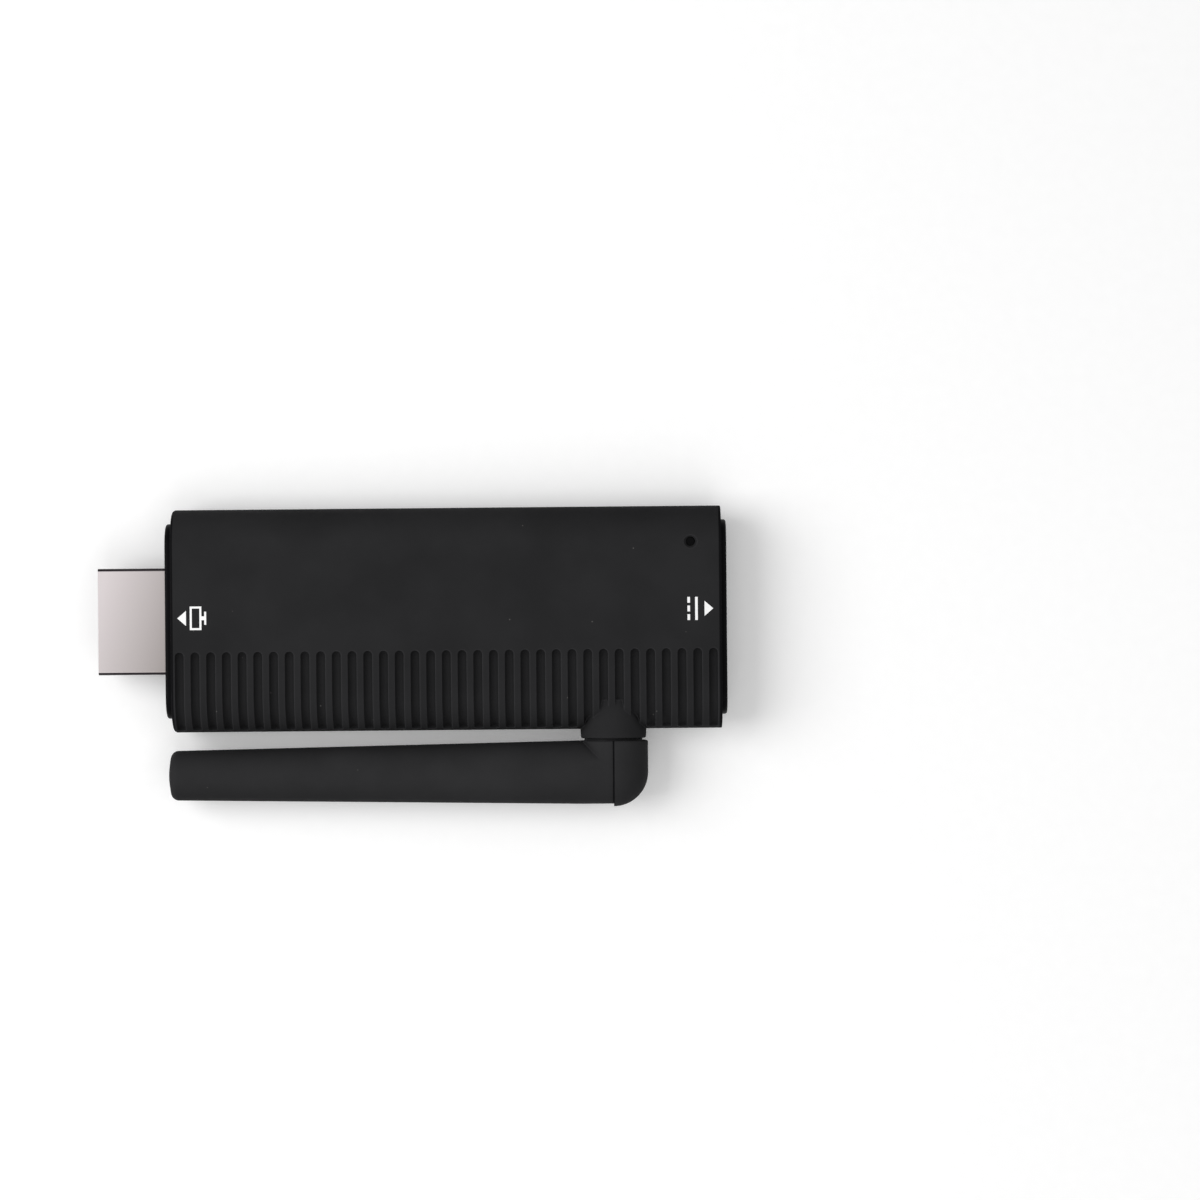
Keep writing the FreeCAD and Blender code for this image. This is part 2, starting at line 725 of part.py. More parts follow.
def strip_group(label, strips):
    """Equal metal strips as one node; each strip is its corner and its three lengths."""
    boxes = []
    for corner, lengths in strips:
        box = doc.addObject("Part::Box", label + "_strip")
        place(box, *corner)
        boxes.append(bind(box, **dict(zip(("Length", "Width", "Height"), lengths))))
    group = doc.addObject("Part::Compound", label)
    group.Links = boxes
    return group


def hdmi_contacts():
    """Two rows of strips that run from the plug's slot onto both faces of the board."""
    strips = []
    under = minus(BOARD_TOP) + " - contact_thick"
    for count, level in (("upper_contacts", BOARD_TOP), ("lower_contacts", under)):
        for index in range(int(SIZES[count])):
            across = "(%d - (%s - 1) / 2) * contact_pitch - contact_wide / 2" % (index, count)
            corner = (minus(PLUG_MOUTH) + " + contact_setback", across, "%s + %s" % (MID, level))
            lengths = (PLUG_LONG + " - contact_setback + contact_pad", "contact_wide", "contact_thick")
            strips.append((corner, lengths))
    return keep(strip_group("hdmi_contacts", strips), "hdmi_contacts")


def hdmi_insulator(contacts):
    """The moulded block in the plug, with its slot and a channel for every contact."""
    block = plug_body("hdmi_insulator_block")
    section = new_sketch(block, "YZ", z="insulator_setback")
    folded_section(section, "plug_wide", "plug_high", "plug_bevel", "plug_sheet + insulator_fit")
    pad(block, section, PLUG_LONG + " - insulator_setback")
    dress(block, "Fillet", "plug_round - plug_sheet", runs_along("x"))
    slot = new_sketch(block, "YZ")
    level = BOARD_TOP + " + contact_thick"
    rectangle(slot, ("-slot_wide / 2", minus(level)), ("slot_wide / 2", level))
    pocket(block, slot, "slot_deep", back=True)
    insulator = doc.addObject("Part::Cut", "hdmi_insulator")
    insulator.Base = block
    insulator.Tool = contacts
    return keep(insulator, "hdmi_insulator")


# The power socket.
def socket_body(name):
    return new_body(name, x=SOCKET_MOUTH, y="socket_side")


def usb_shell():
    body = socket_body("usb_shell")
    section = folded_section(new_sketch(body, "YZ"), "socket_wide", "socket_high", "socket_bevel")
    pad(body, section, "socket_long", back=True)
    sheet_tube(body, "socket_long", True, "socket_sheet", "socket_sheet + board_cut_gap", "0")
    ears = new_sketch(body, "XY", z=BOARD_TOP)
    for sign in ("", "-"):
        wall_side = sign + "(socket_wide / 2 - socket_sheet)"
        tip_side = sign + "(socket_wide / 2 + socket_ear_wide)"
        rectangle(ears, ("-socket_long", wall_side), ("socket_ear_long - socket_long", tip_side))
    pad(body, ears, "socket_sheet")
    return keep(body, "usb_shell")


def usb_contacts():
    strips = []
    for index in range(int(SIZES["pin_count"])):
        across = "socket_side + (%d - (pin_count - 1) / 2) * pin_pitch - pin_wide / 2" % index
        corner = (SOCKET_MOUTH + " - socket_long - socket_back", across, ON_BOARD)
        strips.append((corner, ("2 * socket_back + tongue_reach - tongue_plate", "pin_wide", "pin_thick")))
    return keep(strip_group("usb_contacts", strips), "usb_contacts")


def usb_insulator(contacts):
    """The socket's rear block with the tongue that carries the contacts."""
    block = socket_body("usb_insulator_block")
    section = new_sketch(block, "YZ", z="-socket_long")
    folded_section(section, "socket_wide", "socket_high", "socket_bevel", "socket_sheet + insulator_fit")
    pad(block, section, "socket_back")
    dress(block, "Fillet", "board_cut_gap", runs_along("x"))
    plate = new_sketch(block, "YZ", z="-socket_long")
    rectangle(plate, ("-tongue_wide / 2", BOARD_TOP + " - tongue_plate"), ("tongue_wide / 2", BOARD_TOP))
    pad(block, plate, "socket_back + tongue_reach")
    insulator = doc.addObject("Part::Cut", "usb_insulator")
    insulator.Base = block
    insulator.Tool = contacts
    return keep(insulator, "usb_insulator")


# The main board and what stands on it.
def main_board():
    body = new_body("main_board")
    front, rear, edge = minus(BOARD_FRONT), BOARD_REAR, BOARD_HALF_WIDE
    low = minus(edge)
    notch = [BOSS_ALONG + " - neck_notch_half", BOSS_ALONG + " + neck_notch_half"]
    notch_line = minus(NOTCH_LINE)
    bay = SOCKET_MOUTH + " - socket_long - board_cut_gap"
    bay_low = "socket_side - socket_wide / 2 - board_cut_gap"
    bay_high = "socket_side + socket_wide / 2 + board_cut_gap"
    plan = [(front, low), (notch[0], low), (notch[0], notch_line), (notch[1], notch_line),
            (notch[1], low), (rear, low), (rear, bay_low), (bay, bay_low), (bay, bay_high),
            (rear, bay_high), (rear, edge), (front, edge)]
    pad(body, outline(new_sketch(body, "XY"), plan), "board_thick", both=True)
    holes = new_sketch(body, "XY")
    circles(holes, post_places(), "dowel_radius + dowel_gap")
    slot_end = "%s + %s + plug_tab_long + board_cut_gap" % (minus(PLUG_MOUTH), PLUG_LONG)
    for sign in ("", "-"):
        inner = sign + "(plug_wide / 2 - plug_sheet - board_cut_gap)"
        outer = sign + "(plug_wide / 2 + board_cut_gap)"
        rectangle(holes, (front + " - board_end_gap", inner), (slot_end, outer))
    pocket(body, holes, "2 * board_thick", both=True)
    return keep(body, "main_board")


def block_on(label, level, x, y, long, wide, high):
    """A block centred at x, y whose underside is at the given level."""
    box = doc.addObject("Part::Box", label)
    place(box, "%s - (%s) / 2" % (x, long), "%s - (%s) / 2" % (y, wide), level)
    return bind(box, Length=long, Width=wide, Height=high)


def chip(name, end, under=False):
    along, *words = [name + "_" + word for word in ("along", "side", "long", "wide", "high")]
    level = "%s - %s - %s" % (MID, BOARD_TOP, words[-1]) if under else ON_BOARD
    return keep(block_on(name, level, FROM[end] % along, *words), name)


def chip_rows(label):
    """Rows of equal small parts as one node."""
    lengths = [label + "_long", label + "_wide", label + "_high"]
    boxes = []
    for row, (end, *_, count) in enumerate(ROWS[label]):
        along, side, pitch = row_words(label, row)
        for index in range(int(count)):
            spot = "%s + %d * %s" % (FROM[end] % along, index, pitch)
            boxes.append(block_on(label + "_one", ON_BOARD, spot, side, *lengths))
    group = doc.addObject("Part::Compound", label)
    group.Links = boxes
    return keep(group, label)


def heat_path():
    """A soft pad on the system chip and the metal plate that spreads its heat."""
    chip_top = ON_BOARD + " + soc_chip_high"
    spot = (FROM[CHIPS["soc_chip"][0]] % "soc_chip_along", "soc_chip_side")
    pad_size = ("soc_chip_long - 2 * pad_inset", "soc_chip_wide - 2 * pad_inset", "pad_thick")
    keep(block_on("thermal_pad", chip_top, *spot, *pad_size), "thermal_pad")
    plate_size = ("spreader_long", "spreader_wide", "spreader_thick")
    keep(block_on("heat_spreader", chip_top + " + pad_thick", *spot, *plate_size), "heat_spreader")


def radio_shield():
    body = new_body("radio_shield", BOSS_ALONG + " - can_to_boss", "can_side", ON_BOARD)
    outer = new_sketch(body, "XY")
    rectangle(outer, ("-can_long / 2", "-can_wide / 2"), ("can_long / 2", "can_wide / 2"))
    pad(body, outer, "can_high")
    room = new_sketch(body, "XY")
    rectangle(room, ("can_sheet - can_long / 2", "can_sheet - can_wide / 2"),
              ("can_long / 2 - can_sheet", "can_wide / 2 - can_sheet"))
    pocket(body, room, "can_high - can_sheet", back=True)
    return keep(body, "radio_shield")


def light():
    """The light on the board and the clear pipe that carries it to the hole in the upper shell."""
    led_size = ("led_long", "led_wide", "led_high")
    keep(block_on("status_led", ON_BOARD, LED_ALONG, LED_SIDE, *led_size), "status_led")
    body = new_body("light_pipe", LED_ALONG, LED_SIDE)
    foot = BOARD_TOP + " + led_high + pipe_foot_gap"
    seat = MID + " - wall - pipe_seat_drop"
    low, top = seat + " - pipe_rim_thick", MID + " - pipe_sunk"
    section = new_sketch(body, "XZ")
    outline(section, [("0", foot), ("pipe_radius", foot), ("pipe_radius", low), ("pipe_rim", low),
                      ("pipe_rim", seat), ("pipe_radius", seat), ("pipe_radius", top), ("0", top)])
    turn(body, section)
    return keep(body, "light_pipe")


# The antenna lead in the casing: the middle of its clip, and where it leaves the clip.
LEAD_LEVEL = "(board_thick / 2 + jack_high + clip_high / 2)"
LEAD_START = "(%s + clip_wide / 2)" % JACK_SIDE


def antenna_jack():
    """The antenna socket on the board and the clip of the lead pressed on it."""
    spot = (BOSS_ALONG, minus(JACK_SIDE))
    jack_size = ("jack_wide", "jack_wide", "jack_high")
    keep(block_on("antenna_jack", ON_BOARD, *spot, *jack_size), "antenna_jack")
    clip_size = ("clip_wide", "clip_wide", "clip_high")
    keep(block_on("lead_clip", ON_BOARD + " + jack_high", *spot, *clip_size), "lead_clip")


def lead(label, body, profile, route, sides):
    """A round lead swept along a route of straight runs and tangent arcs."""
    step = feature(body, "AdditivePipe", profile)
    step.Spine = (route, ["Edge%d" % n for n in range(1, sides + 1)])
    route.Visibility = False
    return keep(body, label)


def antenna_lead():
    """From the clip on the board down to the mouth of the swivel neck."""
    body = new_body("antenna_lead", x=BOSS_ALONG)
    dip = "(%s + coax_dip_start)" % LEAD_START
    halfway = (minus(dip + " + coax_dip_long / 2"), LEAD_LEVEL + " / 2")
    bend = "coax_dip_long / (2 * sin(2 * atan(%s / coax_dip_long)))" % LEAD_LEVEL
    route = new_sketch(body, "YZ")
    corners = [(minus(LEAD_START), LEAD_LEVEL), (minus(dip), LEAD_LEVEL), halfway,
               (minus(dip + " + coax_dip_long"), "0"), (minus(FLANGE_IN), "0")]
    outline(route, corners, {1: (bend, 1), 2: (bend, -1)}, closed=False)
    profile = circle(new_sketch(body, "XZ", z=LEAD_START), "0", LEAD_LEVEL, "coax_radius")
    return lead("antenna_lead", body, profile, route, 4)


def friction_washer():
    body = new_body("friction_washer", x=BOSS_ALONG)
    ring = new_sketch(body, "XZ", z=FLANGE_OUT)
    circle(ring, "0", "0", "neck_flange_radius")
    circle(ring, "0", "0", "neck_radius + 2 * neck_fit")
    pad(body, ring, "washer_thick")
    return keep(body, "friction_washer")


# The antenna, drawn about the middle of its elbow.
def antenna_body(name):
    return new_body(name, BOSS_ALONG, minus(ROD_LINE))


def swivel_neck():
    """A hollow journal: a flange and stop lug in the casing, a collar in the gap, a head in the elbow."""
    body = antenna_body("swivel_neck")
    low, high = "%s - %s" % (ROD_LINE, FLANGE_OUT), "%s - %s" % (ROD_LINE, FLANGE_IN)
    collar = "(rod_drop - boss_stand - collar_gap)"
    section = new_sketch(body, "XY")
    outline(section, [("0", HEAD_TOP), ("neck_radius", HEAD_TOP), ("neck_radius", KNUCKLE_TOP),
                      ("collar_radius", KNUCKLE_TOP), ("collar_radius", collar), ("neck_radius", collar),
                      ("neck_radius", low), ("neck_flange_radius", low),
                      ("neck_flange_radius", high), ("0", high)])
    turn(body, section)
    head = new_sketch(body, "XZ", z=minus(HEAD_TOP))
    rectangle(head, ("-head_wide / 2", "-head_wide / 2"), ("head_wide / 2", "head_wide / 2"))
    pad(body, head, "head_thick")
    lug = feature(body, "AdditiveCylinder")
    attach(lug, body, "XZ", "0", "0", minus("%s - %s" % (ROD_LINE, LUG_IN)))
    bind(lug, Radius="neck_flange_radius", Height="lug_thick", Angle="lug_angle")
    lug_centre = "(270 - %s / 2 - stop_margin - lug_angle / 2 - swing_up)" % RIB_ANGLE
    bind(lug, AttachmentOffset__Rotation__Angle="180 - %s - lug_angle / 2" % lug_centre)
    bore = circle(new_sketch(body, "XZ"), "0", "0", "neck_bore")
    pocket(body, bore, "2 * " + ROD_LINE, both=True)
    return keep(body, "swivel_neck")


def neck_pocket(body):
    """Room for the journal and the square head of the neck in one half of the elbow."""
    room = new_sketch(body, "YZ")
    rectangle(room, ("0", "0"), (KNUCKLE_TOP + " + joint_gap", "neck_radius + elbow_fit"))
    turn(body, room, "H_Axis", cut=True)
    head = new_sketch(body, "XZ", z=minus(HEAD_TOP + " + elbow_fit"))
    half = "(head_wide / 2 + elbow_fit)"
    rectangle(head, (minus(half), minus(half)), (half, half))
    pocket(body, head, "head_thick + 2 * elbow_fit", back=True)


PEG_PLACE = "(sleeve_radius + sleeve_gap + rod_root_radius) / 2"


def antenna_sheath():
    """The tapered rod with the half of the elbow that it is moulded with."""
    body = antenna_body("antenna_sheath")
    rod = new_sketch(body, "XY")
    rim = "(rod_tip_radius - rod_tip_round)"
    dome = "(%s ^ 2 + rod_tip_dome ^ 2) / (2 * rod_tip_dome)" % rim
    outline(rod, [("0", "0"), ("0", "rod_root_radius"), ("-rod_root_radius", "rod_root_radius"),
                  ("rod_tip_round + rod_tip_dome - rod_long", "rod_tip_radius"),
                  ("rod_tip_dome - rod_long", rim), ("-rod_long", "0")],
            {3: ("rod_tip_round", 1), 4: (dome, 1)})
    turn(body, rod, "H_Axis")
    knuckle = new_sketch(body, "YZ")
    shoulder = "(rod_root_radius - elbow_round)"
    outline(knuckle, [("0", "0"), (KNUCKLE_TOP, "0"), (KNUCKLE_TOP, shoulder),
                      (KNUCKLE_TOP + " - elbow_round", "rod_root_radius"), ("0", "rod_root_radius")],
            {2: ("elbow_round", 1)})
    turn(body, knuckle, "H_Axis", "180", back=True)
    bore = circle(new_sketch(body, "YZ"), "0", "0", "sleeve_radius + sleeve_gap")
    pocket(body, bore, "rod_long - rod_tip_wall")
    neck_pocket(body)
    pegs = new_sketch(body, "YZ")
    circles(pegs, [("0", PEG_PLACE), ("0", minus(PEG_PLACE))], "peg_radius + elbow_fit")
    pocket(body, pegs, "peg_long + elbow_fit")
    return keep(body, "antenna_sheath")


def knuckle_cover():
    """The outer half of the elbow, a little proud of the sheath, pegged onto it."""
    body = antenna_body("knuckle_cover")
    section = new_sketch(body, "YZ")
    outline(section, [("-cover_radius", "0"), (KNUCKLE_TOP, "0"),
                      (KNUCKLE_TOP, "cover_radius - elbow_round"),
                      (KNUCKLE_TOP + " - elbow_round", "cover_radius"), ("0", "cover_radius")],
            {2: ("elbow_round", 1), 4: ("cover_radius", 1)})
    turn(body, section, "H_Axis", "180")
    neck_pocket(body)
    pegs = new_sketch(body, "YZ")
    circles(pegs, [("0", PEG_PLACE), ("0", minus(PEG_PLACE))], "peg_radius")
    pad(body, pegs, "peg_long", back=True)
    return keep(body, "knuckle_cover")


def antenna_feed():
    """The lead from the neck's mouth round the elbow and through the sleeve."""
    body = antenna_body("antenna_feed")
    route = new_sketch(body, "XY")
    mouth = "%s - %s" % (ROD_LINE, FLANGE_IN)
    corners = [("0", mouth), ("0", "coax_bend"), ("-coax_bend", "0"), ("-sleeve_start - sleeve_long", "0")]
    outline(route, corners, {1: ("coax_bend", -1)}, closed=False)
    profile = circle(new_sketch(body, "XZ", z=minus(mouth)), "0", "0", "coax_radius")
    return lead("antenna_feed", body, profile, route, 3)


def radiator():
    """A brass sleeve over the lead and a wire beyond it, one half of the dipole each."""
    body = antenna_body("radiator_sleeve")
    section = new_sketch(body, "XY")
    open_end, far_end = "-sleeve_start", "-sleeve_start - sleeve_long"
    inner, hole = "sleeve_radius - sleeve_wall", "coax_radius + elbow_fit"
    floor = far_end + " + sleeve_wall"
    outline(section, [(open_end, inner), (open_end, "sleeve_radius"), (far_end, "sleeve_radius"),
                      (far_end, hole), (floor, hole), (floor, inner)])
    turn(body, section, "H_Axis")
    keep(body, "radiator_sleeve")
    wire = antenna_body("radiator_wire")
    wire_long = "rod_long - rod_tip_wall - wire_end_gap - sleeve_start - sleeve_long"
    pad(wire, circle(new_sketch(wire, "YZ", z=far_end), "0", "0", "wire_radius"), wire_long, back=True)
    keep(wire, "radiator_wire")


def build():
    grooves = groove_row()
    shell("upper_shell", 1, grooves)
    shell("lower_shell", -1, grooves)
    front_end_cap()
    rear_end_cap()
    hdmi_shell()
    hdmi_insulator(hdmi_contacts())
    usb_shell()
    usb_insulator(usb_contacts())
    main_board()
    for name, (end, *_) in CHIPS.items():
        chip(name, end)
    for name, (end, *_) in UNDER_CHIPS.items():
        chip(name, end, under=True)
    for kind in ROWS:
        chip_rows(kind)
    heat_path()
    radio_shield()
    light()
    antenna_jack()
    antenna_lead()
    friction_washer()
    swivel_neck()
    antenna_sheath()
    knuckle_cover()
    antenna_feed()
    radiator()
    doc.recompute()


def check():
    """Stops the script if any step failed or any sub-part has no sound shape."""
    for item in doc.Objects:
        if "Invalid" in item.State or "Error" in item.State:
            raise RuntimeError("%s did not recompute: %s" % (item.Label, item.State))
    for node in nodes:
        if node.Shape.isNull() or not node.Shape.isValid():
            raise RuntimeError("%s has no sound shape" % node.Label)


def export():
    os.makedirs("parts", exist_ok=True)
    for node in nodes:
        node.Shape.exportStep("parts/%s.step" % node.Label)
        box = node.Shape.optimalBoundingBox()
        print("%-18s solids %2d  volume %9.2f  X %7.2f %7.2f  Y %7.2f %7.2f  Z %6.2f %6.2f" % (
            node.Label, len(node.Shape.Solids), node.Shape.Volume,
            box.XMin, box.XMax, box.YMin, box.YMax, box.ZMin, box.ZMax))


build()
check()
export()
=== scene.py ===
import math

import bmesh
import bpy
from bpy.props import FloatProperty, FloatVectorProperty, PointerProperty
from mathutils import Matrix, Vector


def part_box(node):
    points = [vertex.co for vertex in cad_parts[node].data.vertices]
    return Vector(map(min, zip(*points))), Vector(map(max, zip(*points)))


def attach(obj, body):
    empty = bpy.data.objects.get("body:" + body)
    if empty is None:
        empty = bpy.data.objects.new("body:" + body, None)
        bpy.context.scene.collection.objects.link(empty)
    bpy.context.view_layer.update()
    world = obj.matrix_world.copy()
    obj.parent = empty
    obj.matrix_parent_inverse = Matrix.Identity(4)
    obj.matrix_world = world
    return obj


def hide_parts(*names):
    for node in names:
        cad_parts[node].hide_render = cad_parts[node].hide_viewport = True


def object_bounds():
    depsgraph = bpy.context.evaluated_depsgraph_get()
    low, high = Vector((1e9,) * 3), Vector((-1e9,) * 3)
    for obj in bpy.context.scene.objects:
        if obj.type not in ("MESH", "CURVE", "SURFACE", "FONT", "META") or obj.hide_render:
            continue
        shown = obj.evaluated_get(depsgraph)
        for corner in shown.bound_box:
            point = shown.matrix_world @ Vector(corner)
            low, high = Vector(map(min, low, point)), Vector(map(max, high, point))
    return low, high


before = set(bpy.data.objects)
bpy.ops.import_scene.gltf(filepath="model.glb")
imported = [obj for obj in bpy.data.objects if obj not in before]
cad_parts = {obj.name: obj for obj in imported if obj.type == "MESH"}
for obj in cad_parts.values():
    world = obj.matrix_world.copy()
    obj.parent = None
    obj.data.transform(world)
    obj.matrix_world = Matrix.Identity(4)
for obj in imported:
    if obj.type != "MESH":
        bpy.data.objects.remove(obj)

bl_info = {
    "name": "Wireless display dongle",
    "version": (1, 0, 0),
    "blender": (4, 5, 0),
    "location": "View3D > Sidebar > Dongle",
    "description": "Finishes the moulded, stamped and plated pieces of a wireless display dongle",
    "category": "Object",
}

MM = 0.001
X, Y, Z = 0, 1, 2
WHITE = (1.0, 1.0, 1.0)

# The boxes of the whole CAD model and of the casing's shell give patterns and signs their places.
CAD_LOW, CAD_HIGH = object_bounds()
SHELL_LOW, SHELL_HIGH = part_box("upper_shell")
TOP = SHELL_HIGH.z
# The antenna turns about the middle of its friction washer, and its elbow parts there.
WASHER_LOW, WASHER_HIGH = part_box("friction_washer")
ELBOW_SEAM = (WASHER_LOW.x + WASHER_HIGH.x) / 2


def linear(hex_colour):
    """An sRGB colour such as #1b1b1c as linear red, green and blue."""
    parts = [int(hex_colour[i:i + 2], 16) / 255 for i in (1, 3, 5)]
    return tuple(c / 12.92 if c <= 0.04045 else ((c + 0.055) / 1.055) ** 2.4 for c in parts)


def colour(name, hex_colour, description):
    return FloatVectorProperty(name=name, description=description, subtype="COLOR", size=3,
                               min=0.0, max=1.0, default=linear(hex_colour))


def length(name, default_mm, description):
    return FloatProperty(name=name, description=description, default=default_mm * MM, min=0.0,
                         precision=5, subtype="DISTANCE", unit="LENGTH")


# What a user can change.
class DongleFinish(bpy.types.PropertyGroup):
    """Colours and surface sizes of the pieces."""
    casing: colour("Casing", "#29292a", "Black of the two casing shells")
    caps: colour("End caps", "#08080a", "Black of the polished end caps")
    antenna: colour("Antenna", "#2e2e2f", "Black of the antenna sheath and its elbow")
    # Partly edge wear, partly a painted highlight along edges and rib crests.
    worn_and_highlit: colour("Worn edge", "#474749", "Colour of plastic rubbed along an edge")
    print_ink: colour("Print", "#ffffff", "White ink of the pad-printed signs")
    plug: colour("Plug", "#c1babb", "Nickel plating of the video plug")
    # Painted shade: the plug is drawn darker towards the casing and the antenna.
    plug_shaded: colour("Plug, dull", "#908a88", "The plating where it is duller, towards the casing")
    # Painted dark reflection along the plug's folds.
    fold_dark_reflection: colour("Plug folds", "#282427", "The plating where the sheet is folded")
    gold: colour("Contacts", "#d8b061", "Gold flash on the contacts")
    mask: colour("Solder mask", "#0f4a2c", "Green lacquer of the main board")
    grain: length("Grain", 0.32, "Width of one pit of the mould's spark-eroded texture")
    grain_depth: length("Grain depth", 0.008, "Depth of the mould's texture")
    edge_soft: length("Edge softness", 0.28, "Radius to which a moulded edge is eased")
    # Painted shade: hollows narrower than this are drawn darker.
    hollow: length("Hollows", 1.2, "Width under which a hollow of the plastic is duller")
    # Painted shade: the shells' ends are drawn darker over this width.
    rim: length("Smooth rim", 0.4, "Width of the smooth rim at both ends of the shells")
    # Painted shade along the elbow's seam, over this width.
    seam: length("Elbow seam", 0.24, "Width of the dark seam of the elbow")
    ink_thick: length("Print thickness", 0.015, "Thickness of the printed ink")


class DongleStudio(bpy.types.PropertyGroup):
    """Camera and lamps."""
    view_along: length("View centre X", 20.0, "Where the photograph's middle lies along the casing")
    view_across: length("View centre Y", 2.3, "Where the photograph's middle lies across the casing")
    view_wide: length("View width", 156.9, "Width of what the photograph shows, at mid height")
    view_high: length("Camera height", 600.0, "Height of the camera over the casing's middle")
    roll: FloatProperty(name="Roll", description="Turn of the object in the picture",
                        default=math.radians(0.52), subtype="ANGLE", unit="ROTATION")
    key_power: FloatProperty(name="Key lamp", description="Power of the soft lamp on the left",
                             default=2.4, min=0.0, subtype="POWER", unit="POWER")
    side_power: FloatProperty(name="Side lamp", description="Power of the soft lamp on the right",
                              default=0.3, min=0.0, subtype="POWER", unit="POWER")
    fill_power: FloatProperty(name="Fill lamp", description="Power of the soft lamp at the antenna side",
                              default=0.6, min=0.0, subtype="POWER", unit="POWER")
    sky: FloatProperty(name="Sky", description="Brightness of the room round the object",
                       default=0.4, min=0.0, max=1.0)


def finish_settings():
    return bpy.context.scene.dongle_finish


def studio_settings():
    return bpy.context.scene.dongle_studio


# Materials.
def add(tree, kind, inputs=(), **settings):
    """Adds a shader node with its settings and links.

    The inputs are named, or stand in the order of the sockets in use. Each is given a value, or the
    node or socket that it is linked to. A colour has three parts, and gets its alpha here.
    """
    node = tree.nodes.new("ShaderNode" + kind)
    for name, value in settings.items():
        setattr(node, name, value)
    if isinstance(inputs, dict):
        filled = [(node.inputs[name], value) for name, value in inputs.items()]
    else:
        filled = zip([socket for socket in node.inputs if socket.enabled], inputs)
    for socket, value in filled:
        if isinstance(value, bpy.types.Node):
            value = next(output for output in value.outputs if output.enabled)
        if isinstance(value, bpy.types.NodeSocket):
            tree.links.new(value, socket)
        elif socket.type == "RGBA":
            socket.default_value = (*value, 1.0)
        else:
            socket.default_value = value
    return node


def new_material(name):
    """An empty node material, its node tree and the place in the object's own coordinates."""
    material = bpy.data.materials.new(name)
    material.use_nodes = True
    tree = material.node_tree
    tree.nodes.clear()
    return material, tree, add(tree, "TexCoord").outputs["Object"]


def surfaced(material, inputs):
    """The material with its shader, whose inputs are given by name."""
    shader = add(material.node_tree, "BsdfPrincipled", inputs)
    add(material.node_tree, "OutputMaterial", {"Surface": shader})
    return material


def times(base, share):
    """A linear colour made darker or lighter, and white at the most."""
    return tuple(min(1.0, part * share) for part in base)


def per_metre(size):
    """The scale at which a texture repeats once in that many metres."""
    return 1.0 / size


def seen_in_camera_or_mirror(tree):
    """1 for what the camera sees straight, in a reflection or through clear plastic, and otherwise 0."""
    rays = add(tree, "LightPath").outputs
    either = add(tree, "Math", (rays["Is Camera Ray"], rays["Is Glossy Ray"]), operation="ADD")
    return add(tree, "Math", (either, rays["Is Transmission Ray"]), operation="ADD", use_clamp=True)


def moulded_black(name, base, roughness, soft, shine=0.015, tone_and_shade=None):
    """Moulded plastic: spark-eroded grain, clouded gloss, eased edges lightened partly by rubbing and
    partly by a painted highlight, painted shade in its hollows, stray dust.
    """
    finish = finish_settings()
    material, tree, place = new_material(name)
    eased = add(tree, "Bevel", {"Radius": soft}, samples=6)
    facing = add(tree, "NewGeometry").outputs["Normal"]
    evenness = add(tree, "VectorMath", (eased, facing), operation="DOT_PRODUCT")
    # Convex edges are drawn lighter: partly wear from rubbing, partly a painted highlight along edges and
    # rib crests.
    flat, rounded, most_rubbed_and_highlit = 0.995, 0.86, 0.5
    rubbed_and_highlit = add(tree, "MapRange", (evenness, flat, rounded, 0.0, most_rubbed_and_highlit))

    cloud = add(tree, "TexNoise", {"Vector": place, "Scale": per_metre(9 * MM), "Detail": 4.0})
    patch = add(tree, "TexNoise", {"Vector": place, "Scale": per_metre(1.4 * MM), "Detail": 5.0})
    clouding = add(tree, "MapRange", (cloud, 0.35, 0.65, 0.0, 1.0))
    clouded = add(tree, "Mix", (clouding, times(base, 0.91), times(base, 1.1)), data_type="RGBA")
    # Hollows: painted shade darkens the colour where the piece's own form closes round it. Only the
    # piece's own form counts, so they stay the same when the antenna turns.
    hollow_occlusion = add(tree, "AmbientOcclusion", {"Distance": finish.hollow}, samples=6, only_local=True)
    deep, open_face = 0.55, 0.97
    openness = add(tree, "MapRange", (hollow_occlusion.outputs["AO"], deep, open_face, 0.0, 1.0))
    painted_shade_tone = add(tree, "Mix", (openness, times(base, 0.22), clouded), data_type="RGBA")
    worn_and_highlit = add(tree, "Mix", (rubbed_and_highlit, painted_shade_tone, finish.worn_and_highlit), data_type="RGBA")

    # Dust: specks one or two tenths of a millimetre wide, about one to each two square centimetres.
    specks = add(tree, "TexVoronoi", {"Vector": place, "Scale": per_metre(3.4 * MM), "Randomness": 1.0})
    rim, core, most_dusty = 0.03, 0.016, 0.35
    dusty = add(tree, "MapRange", (specks, rim, core, 0.0, most_dusty))
    tone = add(tree, "Mix", (dusty, worn_and_highlit, linear("#8c8a86")), data_type="RGBA")
    if tone_and_shade:
        tone = tone_and_shade(tree, place, tone)

    gloss = add(tree, "MapRange", (patch, 0.3, 0.7, roughness - 0.05, roughness + 0.06))
    # The tool's real pits are about a tenth of a millimetre wide. They are drawn coarser, to show.
    grain = add(tree, "TexNoise", {"Vector": place, "Scale": per_metre(finish.grain), "Detail": 3.0,
                                   "Roughness": 0.6})
    pitted = add(tree, "Bump", {"Strength": 0.55, "Distance": finish.grain_depth, "Height": grain,
                                "Normal": eased})
    return surfaced(material, {"Base Color": tone, "Roughness": gloss, "IOR": 1.53,
                               "Specular IOR Level": shine, "Normal": pitted})


